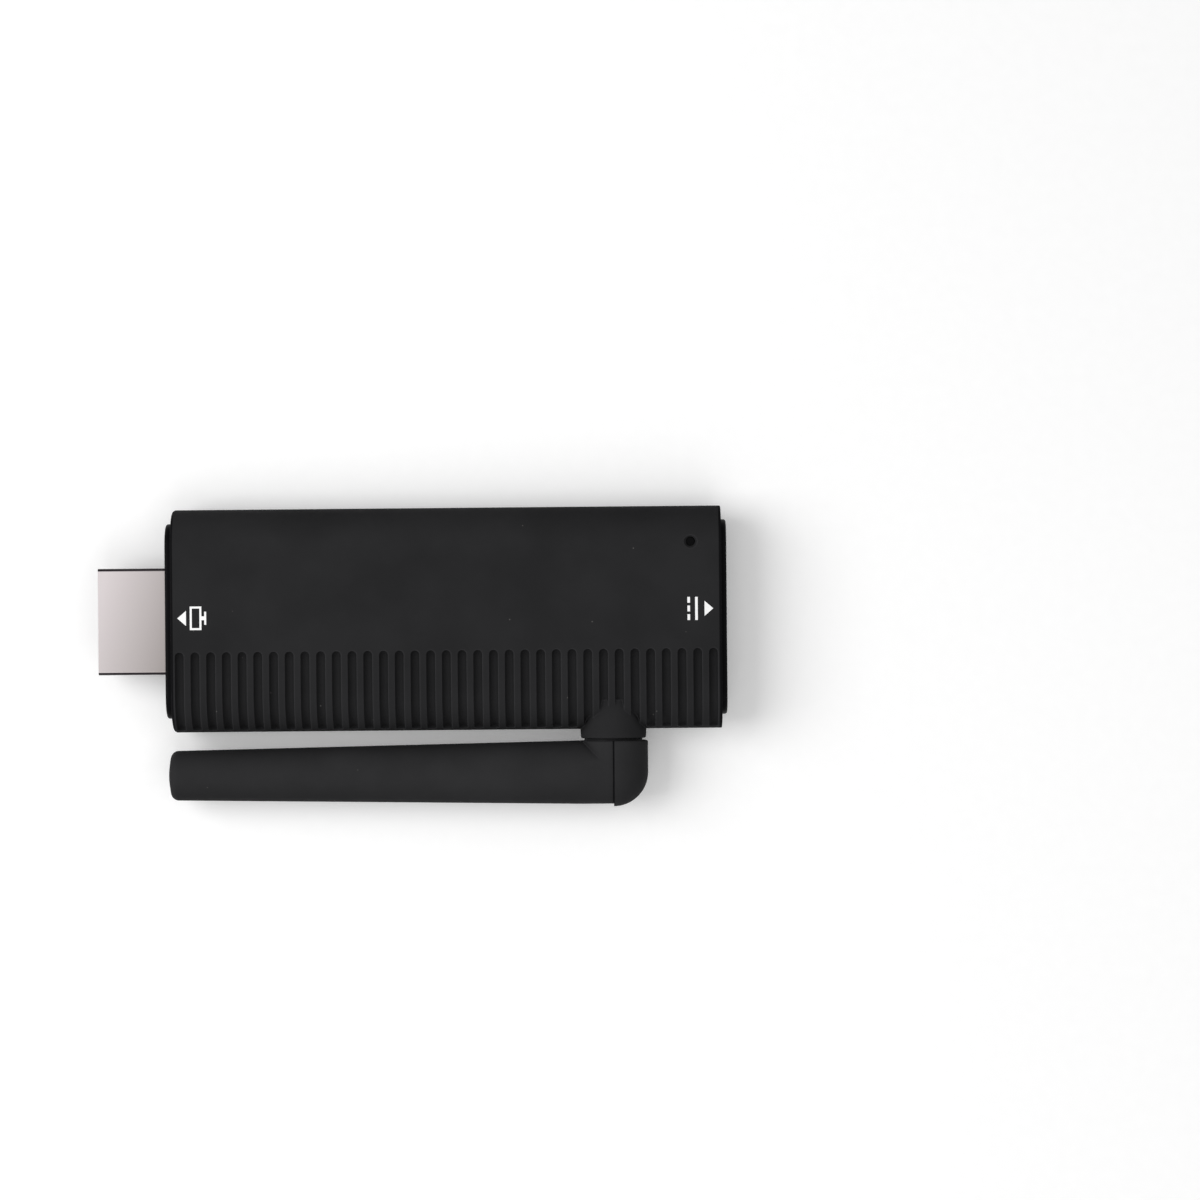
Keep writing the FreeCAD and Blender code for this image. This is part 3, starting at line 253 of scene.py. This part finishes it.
def shaded_shell_ends(tree, place, tone):
    """Painted shade: the rims of the shells at both ends are drawn darker, nearly as black as the caps in
    them.
    """
    finish = finish_settings()
    along = add(tree, "SeparateXYZ", (place,)).outputs["X"]
    from_middle = add(tree, "Math", (along,), operation="ABSOLUTE")
    starts, full = SHELL_HIGH.x - finish.rim, SHELL_HIGH.x - 0.7 * finish.rim
    share = add(tree, "MapRange", (from_middle, starts, full, 0.0, 0.85))
    return add(tree, "Mix", (share, tone, finish.caps), data_type="RGBA")


def casing_plastic():
    # ABS moulded in a spark-eroded tool: deep matt black with a fine grain and no reflections, and
    # painted shade on the rims at both ends.
    finish = finish_settings()
    return moulded_black("ABS, spark-textured black", finish.casing, roughness=0.66,
                         soft=finish.edge_soft, tone_and_shade=shaded_shell_ends)


def cap_plastic():
    # ABS moulded in a polished tool: deeper black and smoother than the shells.
    finish = finish_settings()
    return moulded_black("ABS, polished black", finish.caps, roughness=0.4, soft=finish.edge_soft,
                         shine=0.03)


def shaded_seam(tree, place, tone):
    """Painted shade darkens the seam between the sheath and the cover of its elbow."""
    finish = finish_settings()
    along = add(tree, "SeparateXYZ", (place,)).outputs["X"]
    off_seam = add(tree, "Math", (along, ELBOW_SEAM), operation="SUBTRACT")
    away = add(tree, "Math", (off_seam,), operation="ABSOLUTE")
    share = add(tree, "MapRange", (away, 0.35 * finish.seam, 0.6 * finish.seam, 0.8, 0.0))
    return add(tree, "Mix", (share, tone, finish.caps), data_type="RGBA")


def antenna_plastic():
    # Thermoplastic elastomer sheath: a shade lighter and silkier than the casing, with painted shade
    # along the seam of its elbow.
    finish = finish_settings()
    return moulded_black("TPE, satin black", finish.antenna, roughness=0.6, soft=finish.edge_soft,
                         tone_and_shade=shaded_seam)


def neck_plastic():
    # Acetal: a smooth waxy bearing plastic, turned black.
    return moulded_black("Acetal, moulded black", linear("#202021"), roughness=0.36, soft=0.08 * MM)


def insulator_black():
    # Glass-filled liquid crystal polymer: dense black with the dull flow marks of fibre filling.
    material, tree, place = new_material("LCP, glass-filled black")
    flow = add(tree, "TexNoise", {"Vector": place, "Scale": per_metre(0.7 * MM), "Detail": 6.0,
                                  "Distortion": 1.2})
    tone = add(tree, "Mix", (flow, linear("#0d0d0e"), linear("#242425")), data_type="RGBA")
    gloss = add(tree, "MapRange", (flow, 0.3, 0.7, 0.42, 0.62))
    bump = add(tree, "Bump", {"Strength": 0.4, "Distance": 0.01 * MM, "Height": flow})
    return surfaced(material, {"Base Color": tone, "Roughness": gloss, "Normal": bump})


def rolled_metal(name, base, roughness, streak_mm, along, dent_mm=1.6, uneven=1.0, tone_and_shade=None):
    """Sheet metal: streaks from rolling or drawing along one axis, faint clouding and fine scratches."""
    material, tree, place = new_material(name)
    times_longer = 40
    stretch = [per_metre(streak_mm * MM)] * 3
    stretch[along] = per_metre(streak_mm * MM * times_longer)
    lines = add(tree, "Mapping", {"Vector": place, "Scale": tuple(stretch)})
    streaks = add(tree, "TexNoise", {"Vector": lines, "Scale": 1.0, "Detail": 3.0})
    cloud = add(tree, "TexNoise", {"Vector": place, "Scale": per_metre(dent_mm * 2 * MM), "Detail": 3.0})
    shade = add(tree, "Math", (streaks, cloud), operation="MULTIPLY")
    dark, bright = 0.15, 0.36
    lightness = add(tree, "MapRange", (shade, dark, bright, 0.0, 1.0))
    tone = add(tree, "Mix", (lightness, times(base, 1.0 - 0.14 * uneven), base), data_type="RGBA")
    if tone_and_shade:
        tone = tone_and_shade(tree, place, tone)
    gloss = add(tree, "MapRange", (shade, dark, bright, roughness + 0.08 * uneven,
                                   roughness - 0.04 * uneven))
    dents = add(tree, "TexNoise", {"Vector": place, "Scale": per_metre(dent_mm * MM), "Detail": 1.0})
    wavy = add(tree, "Bump", {"Strength": 0.15, "Distance": 0.02 * MM, "Height": dents})
    scratched = add(tree, "Bump", {"Strength": 0.25 * uneven, "Distance": 0.002 * MM, "Height": streaks,
                                   "Normal": wavy})
    return surfaced(material, {"Base Color": tone, "Metallic": 1.0, "Roughness": gloss,
                               "Normal": scratched})


def plug_tone(tree, place, tone):
    """Painted shade darkens the plug's plating towards the casing and the antenna, and a painted dark
    reflection darkens it along its folds.
    """
    finish = finish_settings()
    # The painted shade is darkest towards the corner of casing and antenna.
    towards_corner = (1.0, -0.33, 0.0)
    slanted = add(tree, "VectorMath", (place, towards_corner), operation="DOT_PRODUCT")
    bright, dull = CAD_LOW.x - 1.0 * MM, SHELL_LOW.x + 1.6 * MM
    shaded_share = add(tree, "MapRange", (slanted, bright, dull, 0.0, 1.0))
    painted_shade_tone = add(tree, "Mix", (shaded_share, tone, finish.plug_shaded), data_type="RGBA")
    # Painted dark reflection on the rounded folds between the plug's top and its sides.
    facing = add(tree, "NewGeometry").outputs["Normal"]
    sideways = add(tree, "SeparateXYZ", (facing,)).outputs["Y"]
    tilt = add(tree, "Math", (sideways,), operation="ABSOLUTE")
    leaves_top = add(tree, "MapRange", (tilt, 0.2, 0.4, 0.0, 1.0))
    reaches_side = add(tree, "MapRange", (tilt, 0.9, 0.99, 1.0, 0.0))
    fold_dark_reflection = add(tree, "Math", (leaves_top, reaches_side), operation="MULTIPLY")
    return add(tree, "Mix", (fold_dark_reflection, painted_shade_tone, finish.fold_dark_reflection), data_type="RGBA")


def plug_steel():
    # Steel strip, nickel plated, stamped and folded: a warm grey satin mirror, with painted shade towards
    # the casing and painted dark reflections along its folds.
    return rolled_metal("Steel sheet, nickel-plated satin", finish_settings().plug, roughness=0.32,
                        streak_mm=0.05, along=X, dent_mm=6.0, uneven=0.15, tone_and_shade=plug_tone)


def contact_gold():
    # Phosphor bronze strip with a thin gold flash: warm yellow, and finely drawn along each contact.
    return rolled_metal("Bronze strip, gold-flashed", finish_settings().gold, roughness=0.24,
                        streak_mm=0.05, along=X, dent_mm=0.6)


def crystal_can():
    # Drawn nickel-silver cans of the crystal and the radio: pale warm grey, with lines across them.
    return rolled_metal("Nickel silver, drawn", linear("#c9c6bd"), roughness=0.26, streak_mm=0.08,
                        along=Y, dent_mm=0.8)


def washer_steel():
    # Hardened spring steel with a straw tint from tempering.
    return rolled_metal("Spring steel, tempered", linear("#a89f8e"), roughness=0.32, streak_mm=0.06,
                        along=Z, dent_mm=0.8)


def spreader_aluminium():
    # Cold-rolled aluminium plate, as cut: bright grey with long rolling marks.
    return rolled_metal("Aluminium, cold-rolled", linear("#c4c6c8"), roughness=0.36, streak_mm=0.1,
                        along=X, dent_mm=2.4)


def radiator_brass():
    # Drawn brass tube and wire: yellow, with drawing lines along it.
    return rolled_metal("Brass, drawn", linear("#c79a4a"), roughness=0.28, streak_mm=0.08, along=X,
                        dent_mm=1.0)


def board_green():
    # Glass-epoxy laminate with photo-printed solder mask: copper tracks show lighter through the green
    # lacquer, and the sawn edges are bare.
    material, tree, place = new_material("FR-4 laminate, green solder mask")
    mask = finish_settings().mask
    cells = add(tree, "TexVoronoi", {"Vector": place, "Scale": per_metre(1.1 * MM), "Randomness": 0.85},
                feature="DISTANCE_TO_EDGE", distance="MANHATTAN")
    track = add(tree, "MapRange", (cells, 0.05, 0.09, 1.0, 0.0))
    vias = add(tree, "TexVoronoi", {"Vector": place, "Scale": per_metre(1.9 * MM), "Randomness": 0.6})
    via = add(tree, "MapRange", (vias, 0.1, 0.13, 1.0, 0.0))
    tracked = add(tree, "Mix", (track, mask, times(mask, 2.1)), data_type="RGBA")
    holed = add(tree, "Mix", (via, tracked, linear("#b9965a")), data_type="RGBA")
    facing = add(tree, "NewGeometry").outputs["Normal"]
    upwards = add(tree, "SeparateXYZ", (facing,)).outputs["Z"]
    upright = add(tree, "Math", (upwards,), operation="ABSOLUTE")
    face = add(tree, "MapRange", (upright, 0.4, 0.6, 0.0, 1.0))
    tone = add(tree, "Mix", (face, linear("#b8a874"), holed), data_type="RGBA")
    gloss = add(tree, "MapRange", (face, 0.0, 1.0, 0.7, 0.28))
    raised = add(tree, "Bump", {"Strength": 0.5, "Distance": 0.03 * MM, "Height": track})
    return surfaced(material, {"Base Color": tone, "Roughness": gloss, "Normal": raised})


def chip_black():
    # Silica-filled epoxy, transfer moulded: charcoal with a sandy dull surface. The filler's grains are
    # finer than they are drawn.
    material, tree, place = new_material("Epoxy, transfer-moulded charcoal")
    sand = add(tree, "TexNoise", {"Vector": place, "Scale": per_metre(0.09 * MM), "Detail": 2.0})
    tone = add(tree, "Mix", (sand, linear("#1d1e20"), linear("#34363a")), data_type="RGBA")
    gloss = add(tree, "MapRange", (sand, 0.3, 0.7, 0.5, 0.72))
    bump = add(tree, "Bump", {"Strength": 0.4, "Distance": 0.006 * MM, "Height": sand})
    return surfaced(material, {"Base Color": tone, "Roughness": gloss, "Normal": bump})


def fired_ceramic():
    # Barium titanate capacitor body: tan, fired, with a faint speckle.
    material, tree, place = new_material("Barium titanate, fired")
    speckle = add(tree, "TexNoise", {"Vector": place, "Scale": per_metre(0.12 * MM), "Detail": 3.0})
    tone = add(tree, "Mix", (speckle, linear("#8c6a48"), linear("#b39069")), data_type="RGBA")
    gloss = add(tree, "MapRange", (speckle, 0.3, 0.7, 0.4, 0.55))
    return surfaced(material, {"Base Color": tone, "Roughness": gloss})


def thermal_silicone():
    # Gap-filler pad: pale grey silicone, soft and dull, with filler grains.
    material, tree, place = new_material("Silicone gap filler, cast")
    grains = add(tree, "TexVoronoi", {"Vector": place, "Scale": per_metre(0.16 * MM)})
    tone = add(tree, "Mix", (grains, linear("#8b93a1"), linear("#a9b0bb")), data_type="RGBA")
    bump = add(tree, "Bump", {"Strength": 0.5, "Distance": 0.02 * MM, "Height": grains})
    return surfaced(material, {"Base Color": tone, "Roughness": 0.8, "Normal": bump})


def clear_plastic():
    # Smoked polycarbonate light guide: looks black until the light behind it is on. Its near-black colour
    # is partly the smoked tint and partly painted shade of the hole it sits in.
    material, tree, place = new_material("Polycarbonate, smoked")
    swirl = add(tree, "TexNoise", {"Vector": place, "Scale": per_metre(0.5 * MM), "Distortion": 2.0})
    tone = add(tree, "Mix", (swirl, linear("#030304"), linear("#070708")), data_type="RGBA")
    gloss = add(tree, "MapRange", (swirl, 0.3, 0.7, 0.04, 0.12))
    return surfaced(material, {"Base Color": tone, "Roughness": gloss, "IOR": 1.585,
                               "Specular IOR Level": 0.02, "Transmission Weight": 0.04})


def lead_jacket():
    # Extruded fluoropolymer jacket of a thin coaxial lead: grey and slippery.
    material, tree, place = new_material("FEP jacket, extruded grey")
    draw = add(tree, "TexNoise", {"Vector": place, "Scale": per_metre(0.4 * MM), "Detail": 3.0})
    tone = add(tree, "Mix", (draw, linear("#3c3d40"), linear("#55575b")), data_type="RGBA")
    gloss = add(tree, "MapRange", (draw, 0.3, 0.7, 0.28, 0.4))
    return surfaced(material, {"Base Color": tone, "Roughness": gloss})


def print_ink():
    # Two-part screen ink, pad printed: opaque white, slightly uneven where the pad lifted.
    material, tree, place = new_material("Pad-printed ink, white")
    lift = add(tree, "TexNoise", {"Vector": place, "Scale": per_metre(0.25 * MM), "Detail": 4.0})
    ink = finish_settings().print_ink
    cover = add(tree, "MapRange", (lift, 0.3, 0.55, 0.0, 1.0))
    tone = add(tree, "Mix", (cover, times(ink, 0.93), ink), data_type="RGBA")
    gloss = add(tree, "MapRange", (lift, 0.3, 0.7, 0.45, 0.6))
    return surfaced(material, {"Base Color": tone, "Roughness": gloss})


# Pieces.
def paint(material, *nodes):
    """Gives CAD nodes their material."""
    for name in nodes:
        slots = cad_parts[name].data.materials
        slots.clear()
        slots.append(material)


def into_scene(mesh, name, material, body):
    """Makes a finished bmesh an object at the origin that rides on a body."""
    data = bpy.data.meshes.new(name)
    mesh.to_mesh(data)
    mesh.free()
    piece = bpy.data.objects.new(name, data)
    bpy.context.scene.collection.objects.link(piece)
    data.materials.append(material)
    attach(piece, body)
    return piece


def smooth_copy(node, body, material, split_angle=32):
    """A copy of a CAD node with joined corners and smooth curved faces, which stands for the node."""
    mesh = bmesh.new()
    mesh.from_mesh(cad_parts[node].data)
    one_place = 0.0005 * MM
    bmesh.ops.remove_doubles(mesh, verts=mesh.verts, dist=one_place)
    limit = math.radians(split_angle)
    for face in mesh.faces:
        face.smooth = True
    for edge in mesh.edges:
        edge.smooth = len(edge.link_faces) == 2 and edge.calc_face_angle(0.0) < limit
    piece = into_scene(mesh, node + "_skin", material, body)
    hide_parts(node)


def arrow(mesh, tip, across, inwards):
    """A flat triangle that points to the near end of the casing; inwards is 1 or -1 along X."""
    base = tip + inwards * 1.13 * MM
    half = 0.98 * MM
    corners = [(tip, across), (base, across + half), (base, across - half)]
    mesh.faces.new([mesh.verts.new((x, y, TOP)) for x, y in corners])


def bar(mesh, centre, size):
    """A flat bar of the printed signs."""
    shape = bmesh.ops.create_grid(mesh, x_segments=1, y_segments=1, size=0.5)["verts"]
    bmesh.ops.scale(mesh, vec=(size[0], size[1], 1.0), verts=shape)
    bmesh.ops.translate(mesh, vec=(centre[0], centre[1], TOP), verts=shape)


def thicken(mesh, thickness):
    """Turns the flat signs into a thin layer that lies on the casing's flat top."""
    bmesh.ops.recalc_face_normals(mesh, faces=mesh.faces)
    raised = bmesh.ops.extrude_face_region(mesh, geom=mesh.faces[:])["geom"]
    bmesh.ops.translate(mesh, vec=(0, 0, thickness),
                        verts=[item for item in raised if isinstance(item, bmesh.types.BMVert)])
    bmesh.ops.recalc_face_normals(mesh, faces=mesh.faces)


def plug_sign(mesh):
    """An arrow to the plug, and a plain screen on its stand behind it."""
    across = 0.4 * MM
    arrow(mesh, SHELL_LOW.x + 0.95 * MM, across, 1)
    line = 0.26 * MM
    left, right = SHELL_LOW.x + 2.7 * MM, SHELL_LOW.x + 3.95 * MM
    half = 1.4 * MM
    for x in (left, right):
        bar(mesh, (x, across), (line, 2 * half + line))
    for side in (-1, 1):
        bar(mesh, ((left + right) / 2, across + side * half), (right - left - line, line))
    neck_long, neck_wide = 0.36 * MM, 0.5 * MM
    foot_wide = 1.7 * MM
    bar(mesh, (right + (line + neck_long) / 2, across), (neck_long, neck_wide))
    bar(mesh, (right + line + neck_long, across), (line, foot_wide))


def power_sign(mesh):
    """An arrow to the power socket, and the common line-over-dashes sign of direct current."""
    across = 1.1 * MM
    arrow(mesh, SHELL_HIGH.x - 1.12 * MM, across, -1)
    line, line_long = 0.34 * MM, 3.0 * MM
    bar(mesh, (SHELL_HIGH.x - 3.3 * MM, across), (line, line_long))
    dash_long, dash_pitch = 0.76 * MM, 1.12 * MM
    for step in (-1, 0, 1):
        bar(mesh, (SHELL_HIGH.x - 4.3 * MM, across + step * dash_pitch), (line, dash_long))


# Operators: one for each group of pieces and one for the stage.
class DONGLE_OT_casing(bpy.types.Operator):
    """Finish the two shells and the end caps in textured black plastic"""
    bl_idname = "dongle.casing"
    bl_label = "Casing"

    def execute(self, context):
        plastic = casing_plastic()
        for node in ("upper_shell", "lower_shell"):
            smooth_copy(node, "casing", plastic)
        polished = cap_plastic()
        for node in ("front_end_cap", "rear_end_cap"):
            smooth_copy(node, "casing", polished)
        paint(clear_plastic(), "light_pipe", "status_led")
        return {"FINISHED"}


class DONGLE_OT_antenna(bpy.types.Operator):
    """Finish the antenna sheath, its elbow and what runs inside it"""
    bl_idname = "dongle.antenna"
    bl_label = "Antenna"

    def execute(self, context):
        plastic = antenna_plastic()
        for node in ("antenna_sheath", "knuckle_cover"):
            smooth_copy(node, "antenna", plastic)
        smooth_copy("swivel_neck", "antenna", neck_plastic())
        paint(washer_steel(), "friction_washer")
        paint(radiator_brass(), "radiator_sleeve", "radiator_wire")
        paint(lead_jacket(), "antenna_feed", "antenna_lead")
        return {"FINISHED"}


class DONGLE_OT_connectors(bpy.types.Operator):
    """Finish the video plug and the power socket"""
    bl_idname = "dongle.connectors"
    bl_label = "Connectors"

    def execute(self, context):
        steel = plug_steel()
        smooth_copy("hdmi_shell", "casing", steel)
        smooth_copy("usb_shell", "casing", steel)
        paint(contact_gold(), "hdmi_contacts", "usb_contacts", "antenna_jack", "lead_clip")
        paint(insulator_black(), "hdmi_insulator", "usb_insulator")
        return {"FINISHED"}


class DONGLE_OT_board(bpy.types.Operator):
    """Finish the main board and what stands on it"""
    bl_idname = "dongle.board"
    bl_label = "Main board"

    def execute(self, context):
        paint(board_green(), "main_board")
        paint(chip_black(), "soc_chip", "memory_chip", "flash_chip", "radio_chip", "power_inductor",
              "power_regulator", "resistors")
        paint(crystal_can(), "crystal", "radio_shield")
        paint(fired_ceramic(), "capacitors")
        paint(thermal_silicone(), "thermal_pad")
        paint(spreader_aluminium(), "heat_spreader")
        return {"FINISHED"}


class DONGLE_OT_signs(bpy.types.Operator):
    """Print the plain signs that point to the plug and to the power socket"""
    bl_idname = "dongle.signs"
    bl_label = "Printed signs"

    def execute(self, context):
        ink = print_ink()
        for name, draw in (("plug_sign", plug_sign), ("power_sign", power_sign)):
            mesh = bmesh.new()
            draw(mesh)
            thicken(mesh, finish_settings().ink_thick)
            into_scene(mesh, name, ink, "casing")
        return {"FINISHED"}


def white_floor():
    """A pale floor that keeps shadows and comes out white where nothing shades it."""
    material, tree, place = new_material("Paper backdrop, matt white")
    fibre = add(tree, "TexNoise", {"Vector": place, "Scale": per_metre(1.5 * MM), "Detail": 2.0})
    paper = add(tree, "Mix", (fibre, linear("#fafafa"), linear("#ffffff")), data_type="RGBA")
    seen = seen_in_camera_or_mirror(tree)
    # To the object the paper is grey, so that little of its light comes back up.
    tone = add(tree, "Mix", (seen, linear("#606060"), paper), data_type="RGBA")
    # Far from the lamps the paper glows more, so that no horizon shows in the low views.
    from_middle = add(tree, "VectorMath", (place,), operation="LENGTH")
    lit, unlit = 0.2, 0.7
    least_glow, most_glow = 0.12, 0.58
    paper_glow = add(tree, "MapRange", (from_middle, lit, unlit, least_glow, most_glow))
    glow = add(tree, "Math", (seen, paper_glow), operation="MULTIPLY")
    return surfaced(material, {"Base Color": tone, "Roughness": 0.9, "Specular IOR Level": 0.1,
                               "Emission Color": WHITE, "Emission Strength": glow})


def soft_lamp(name, power, size, place, aim):
    """A square soft lamp at a place, turned to face a point."""
    lamp = bpy.data.lights.new(name, "AREA")
    lamp.energy = power
    lamp.shape = "SQUARE"
    lamp.size = size
    holder = bpy.data.objects.new(name, lamp)
    holder.location = place
    holder.rotation_euler = (Vector(aim) - Vector(place)).to_track_quat("-Z", "Y").to_euler()
    holder.visible_camera = False
    bpy.context.scene.collection.objects.link(holder)


class DONGLE_OT_stage(bpy.types.Operator):
    """Lay the pale floor, hang the soft lamps and set up the camera"""
    bl_idname = "dongle.stage"
    bl_label = "Stage"

    def execute(self, context):
        studio = studio_settings()
        scene = context.scene
        scene.view_settings.view_transform = "Standard"

        floor_half = 1.5
        floor_mesh = bmesh.new()
        bmesh.ops.create_grid(floor_mesh, x_segments=1, y_segments=1, size=floor_half)
        data = bpy.data.meshes.new("floor")
        floor_mesh.to_mesh(data)
        floor_mesh.free()
        data.transform(Matrix.Translation((0, 0, CAD_LOW.z)))
        floor = bpy.data.objects.new("floor", data)
        data.materials.append(white_floor())
        scene.collection.objects.link(floor)

        middle = (0.0, 0.0, TOP / 2)
        soft_lamp("key_lamp", studio.key_power, size=0.45, place=(-0.42, 0.06, 0.45), aim=middle)
        soft_lamp("side_lamp", studio.side_power, size=0.45, place=(0.42, 0.0, 0.5), aim=middle)
        soft_lamp("fill_lamp", studio.fill_power, size=0.4, place=(0.05, -0.35, 0.5), aim=middle)

        world = bpy.data.worlds.new("studio")
        scene.world = world
        world.use_nodes = True
        tree = world.node_tree
        tree.nodes.clear()
        bright = add(tree, "MapRange", (seen_in_camera_or_mirror(tree), 0.0, 1.0, studio.sky, 1.0))
        background = add(tree, "Background", {"Color": WHITE, "Strength": bright})
        add(tree, "OutputWorld", {"Surface": background})

        lens = bpy.data.cameras.new("camera")
        lens.sensor_width = 36.0
        lens.lens = lens.sensor_width * studio.view_high / studio.view_wide
        lens.clip_start, lens.clip_end = 0.01, 10.0
        camera = bpy.data.objects.new("camera", lens)
        camera.location = (studio.view_along, studio.view_across, studio.view_high + TOP / 2)
        camera.rotation_euler = (0.0, 0.0, -studio.roll)
        scene.collection.objects.link(camera)
        scene.camera = camera
        return {"FINISHED"}


STEPS = (DONGLE_OT_casing, DONGLE_OT_antenna, DONGLE_OT_connectors, DONGLE_OT_board, DONGLE_OT_signs,
         DONGLE_OT_stage)


class DONGLE_PT_panel(bpy.types.Panel):
    """The steps and settings of the dongle in the 3D view's sidebar"""
    bl_idname = "DONGLE_PT_panel"
    bl_label = "Display dongle"
    bl_space_type = "VIEW_3D"
    bl_region_type = "UI"
    bl_category = "Dongle"

    def draw(self, context):
        for settings in (finish_settings(), studio_settings()):
            for name in settings.bl_rna.properties.keys():
                if name not in ("rna_type", "name"):
                    self.layout.prop(settings, name)
        for step in STEPS:
            self.layout.operator(step.bl_idname)


CLASSES = (DongleFinish, DongleStudio, *STEPS, DONGLE_PT_panel)


def register():
    for item in CLASSES:
        bpy.utils.register_class(item)
    bpy.types.Scene.dongle_finish = PointerProperty(type=DongleFinish)
    bpy.types.Scene.dongle_studio = PointerProperty(type=DongleStudio)


def unregister():
    del bpy.types.Scene.dongle_studio
    del bpy.types.Scene.dongle_finish
    for item in reversed(CLASSES):
        bpy.utils.unregister_class(item)


def main():
    register()
    bpy.ops.dongle.casing()
    bpy.ops.dongle.antenna()
    bpy.ops.dongle.connectors()
    bpy.ops.dongle.board()
    bpy.ops.dongle.signs()
    bpy.ops.dongle.stage()


if __name__ == "__main__":
    main()
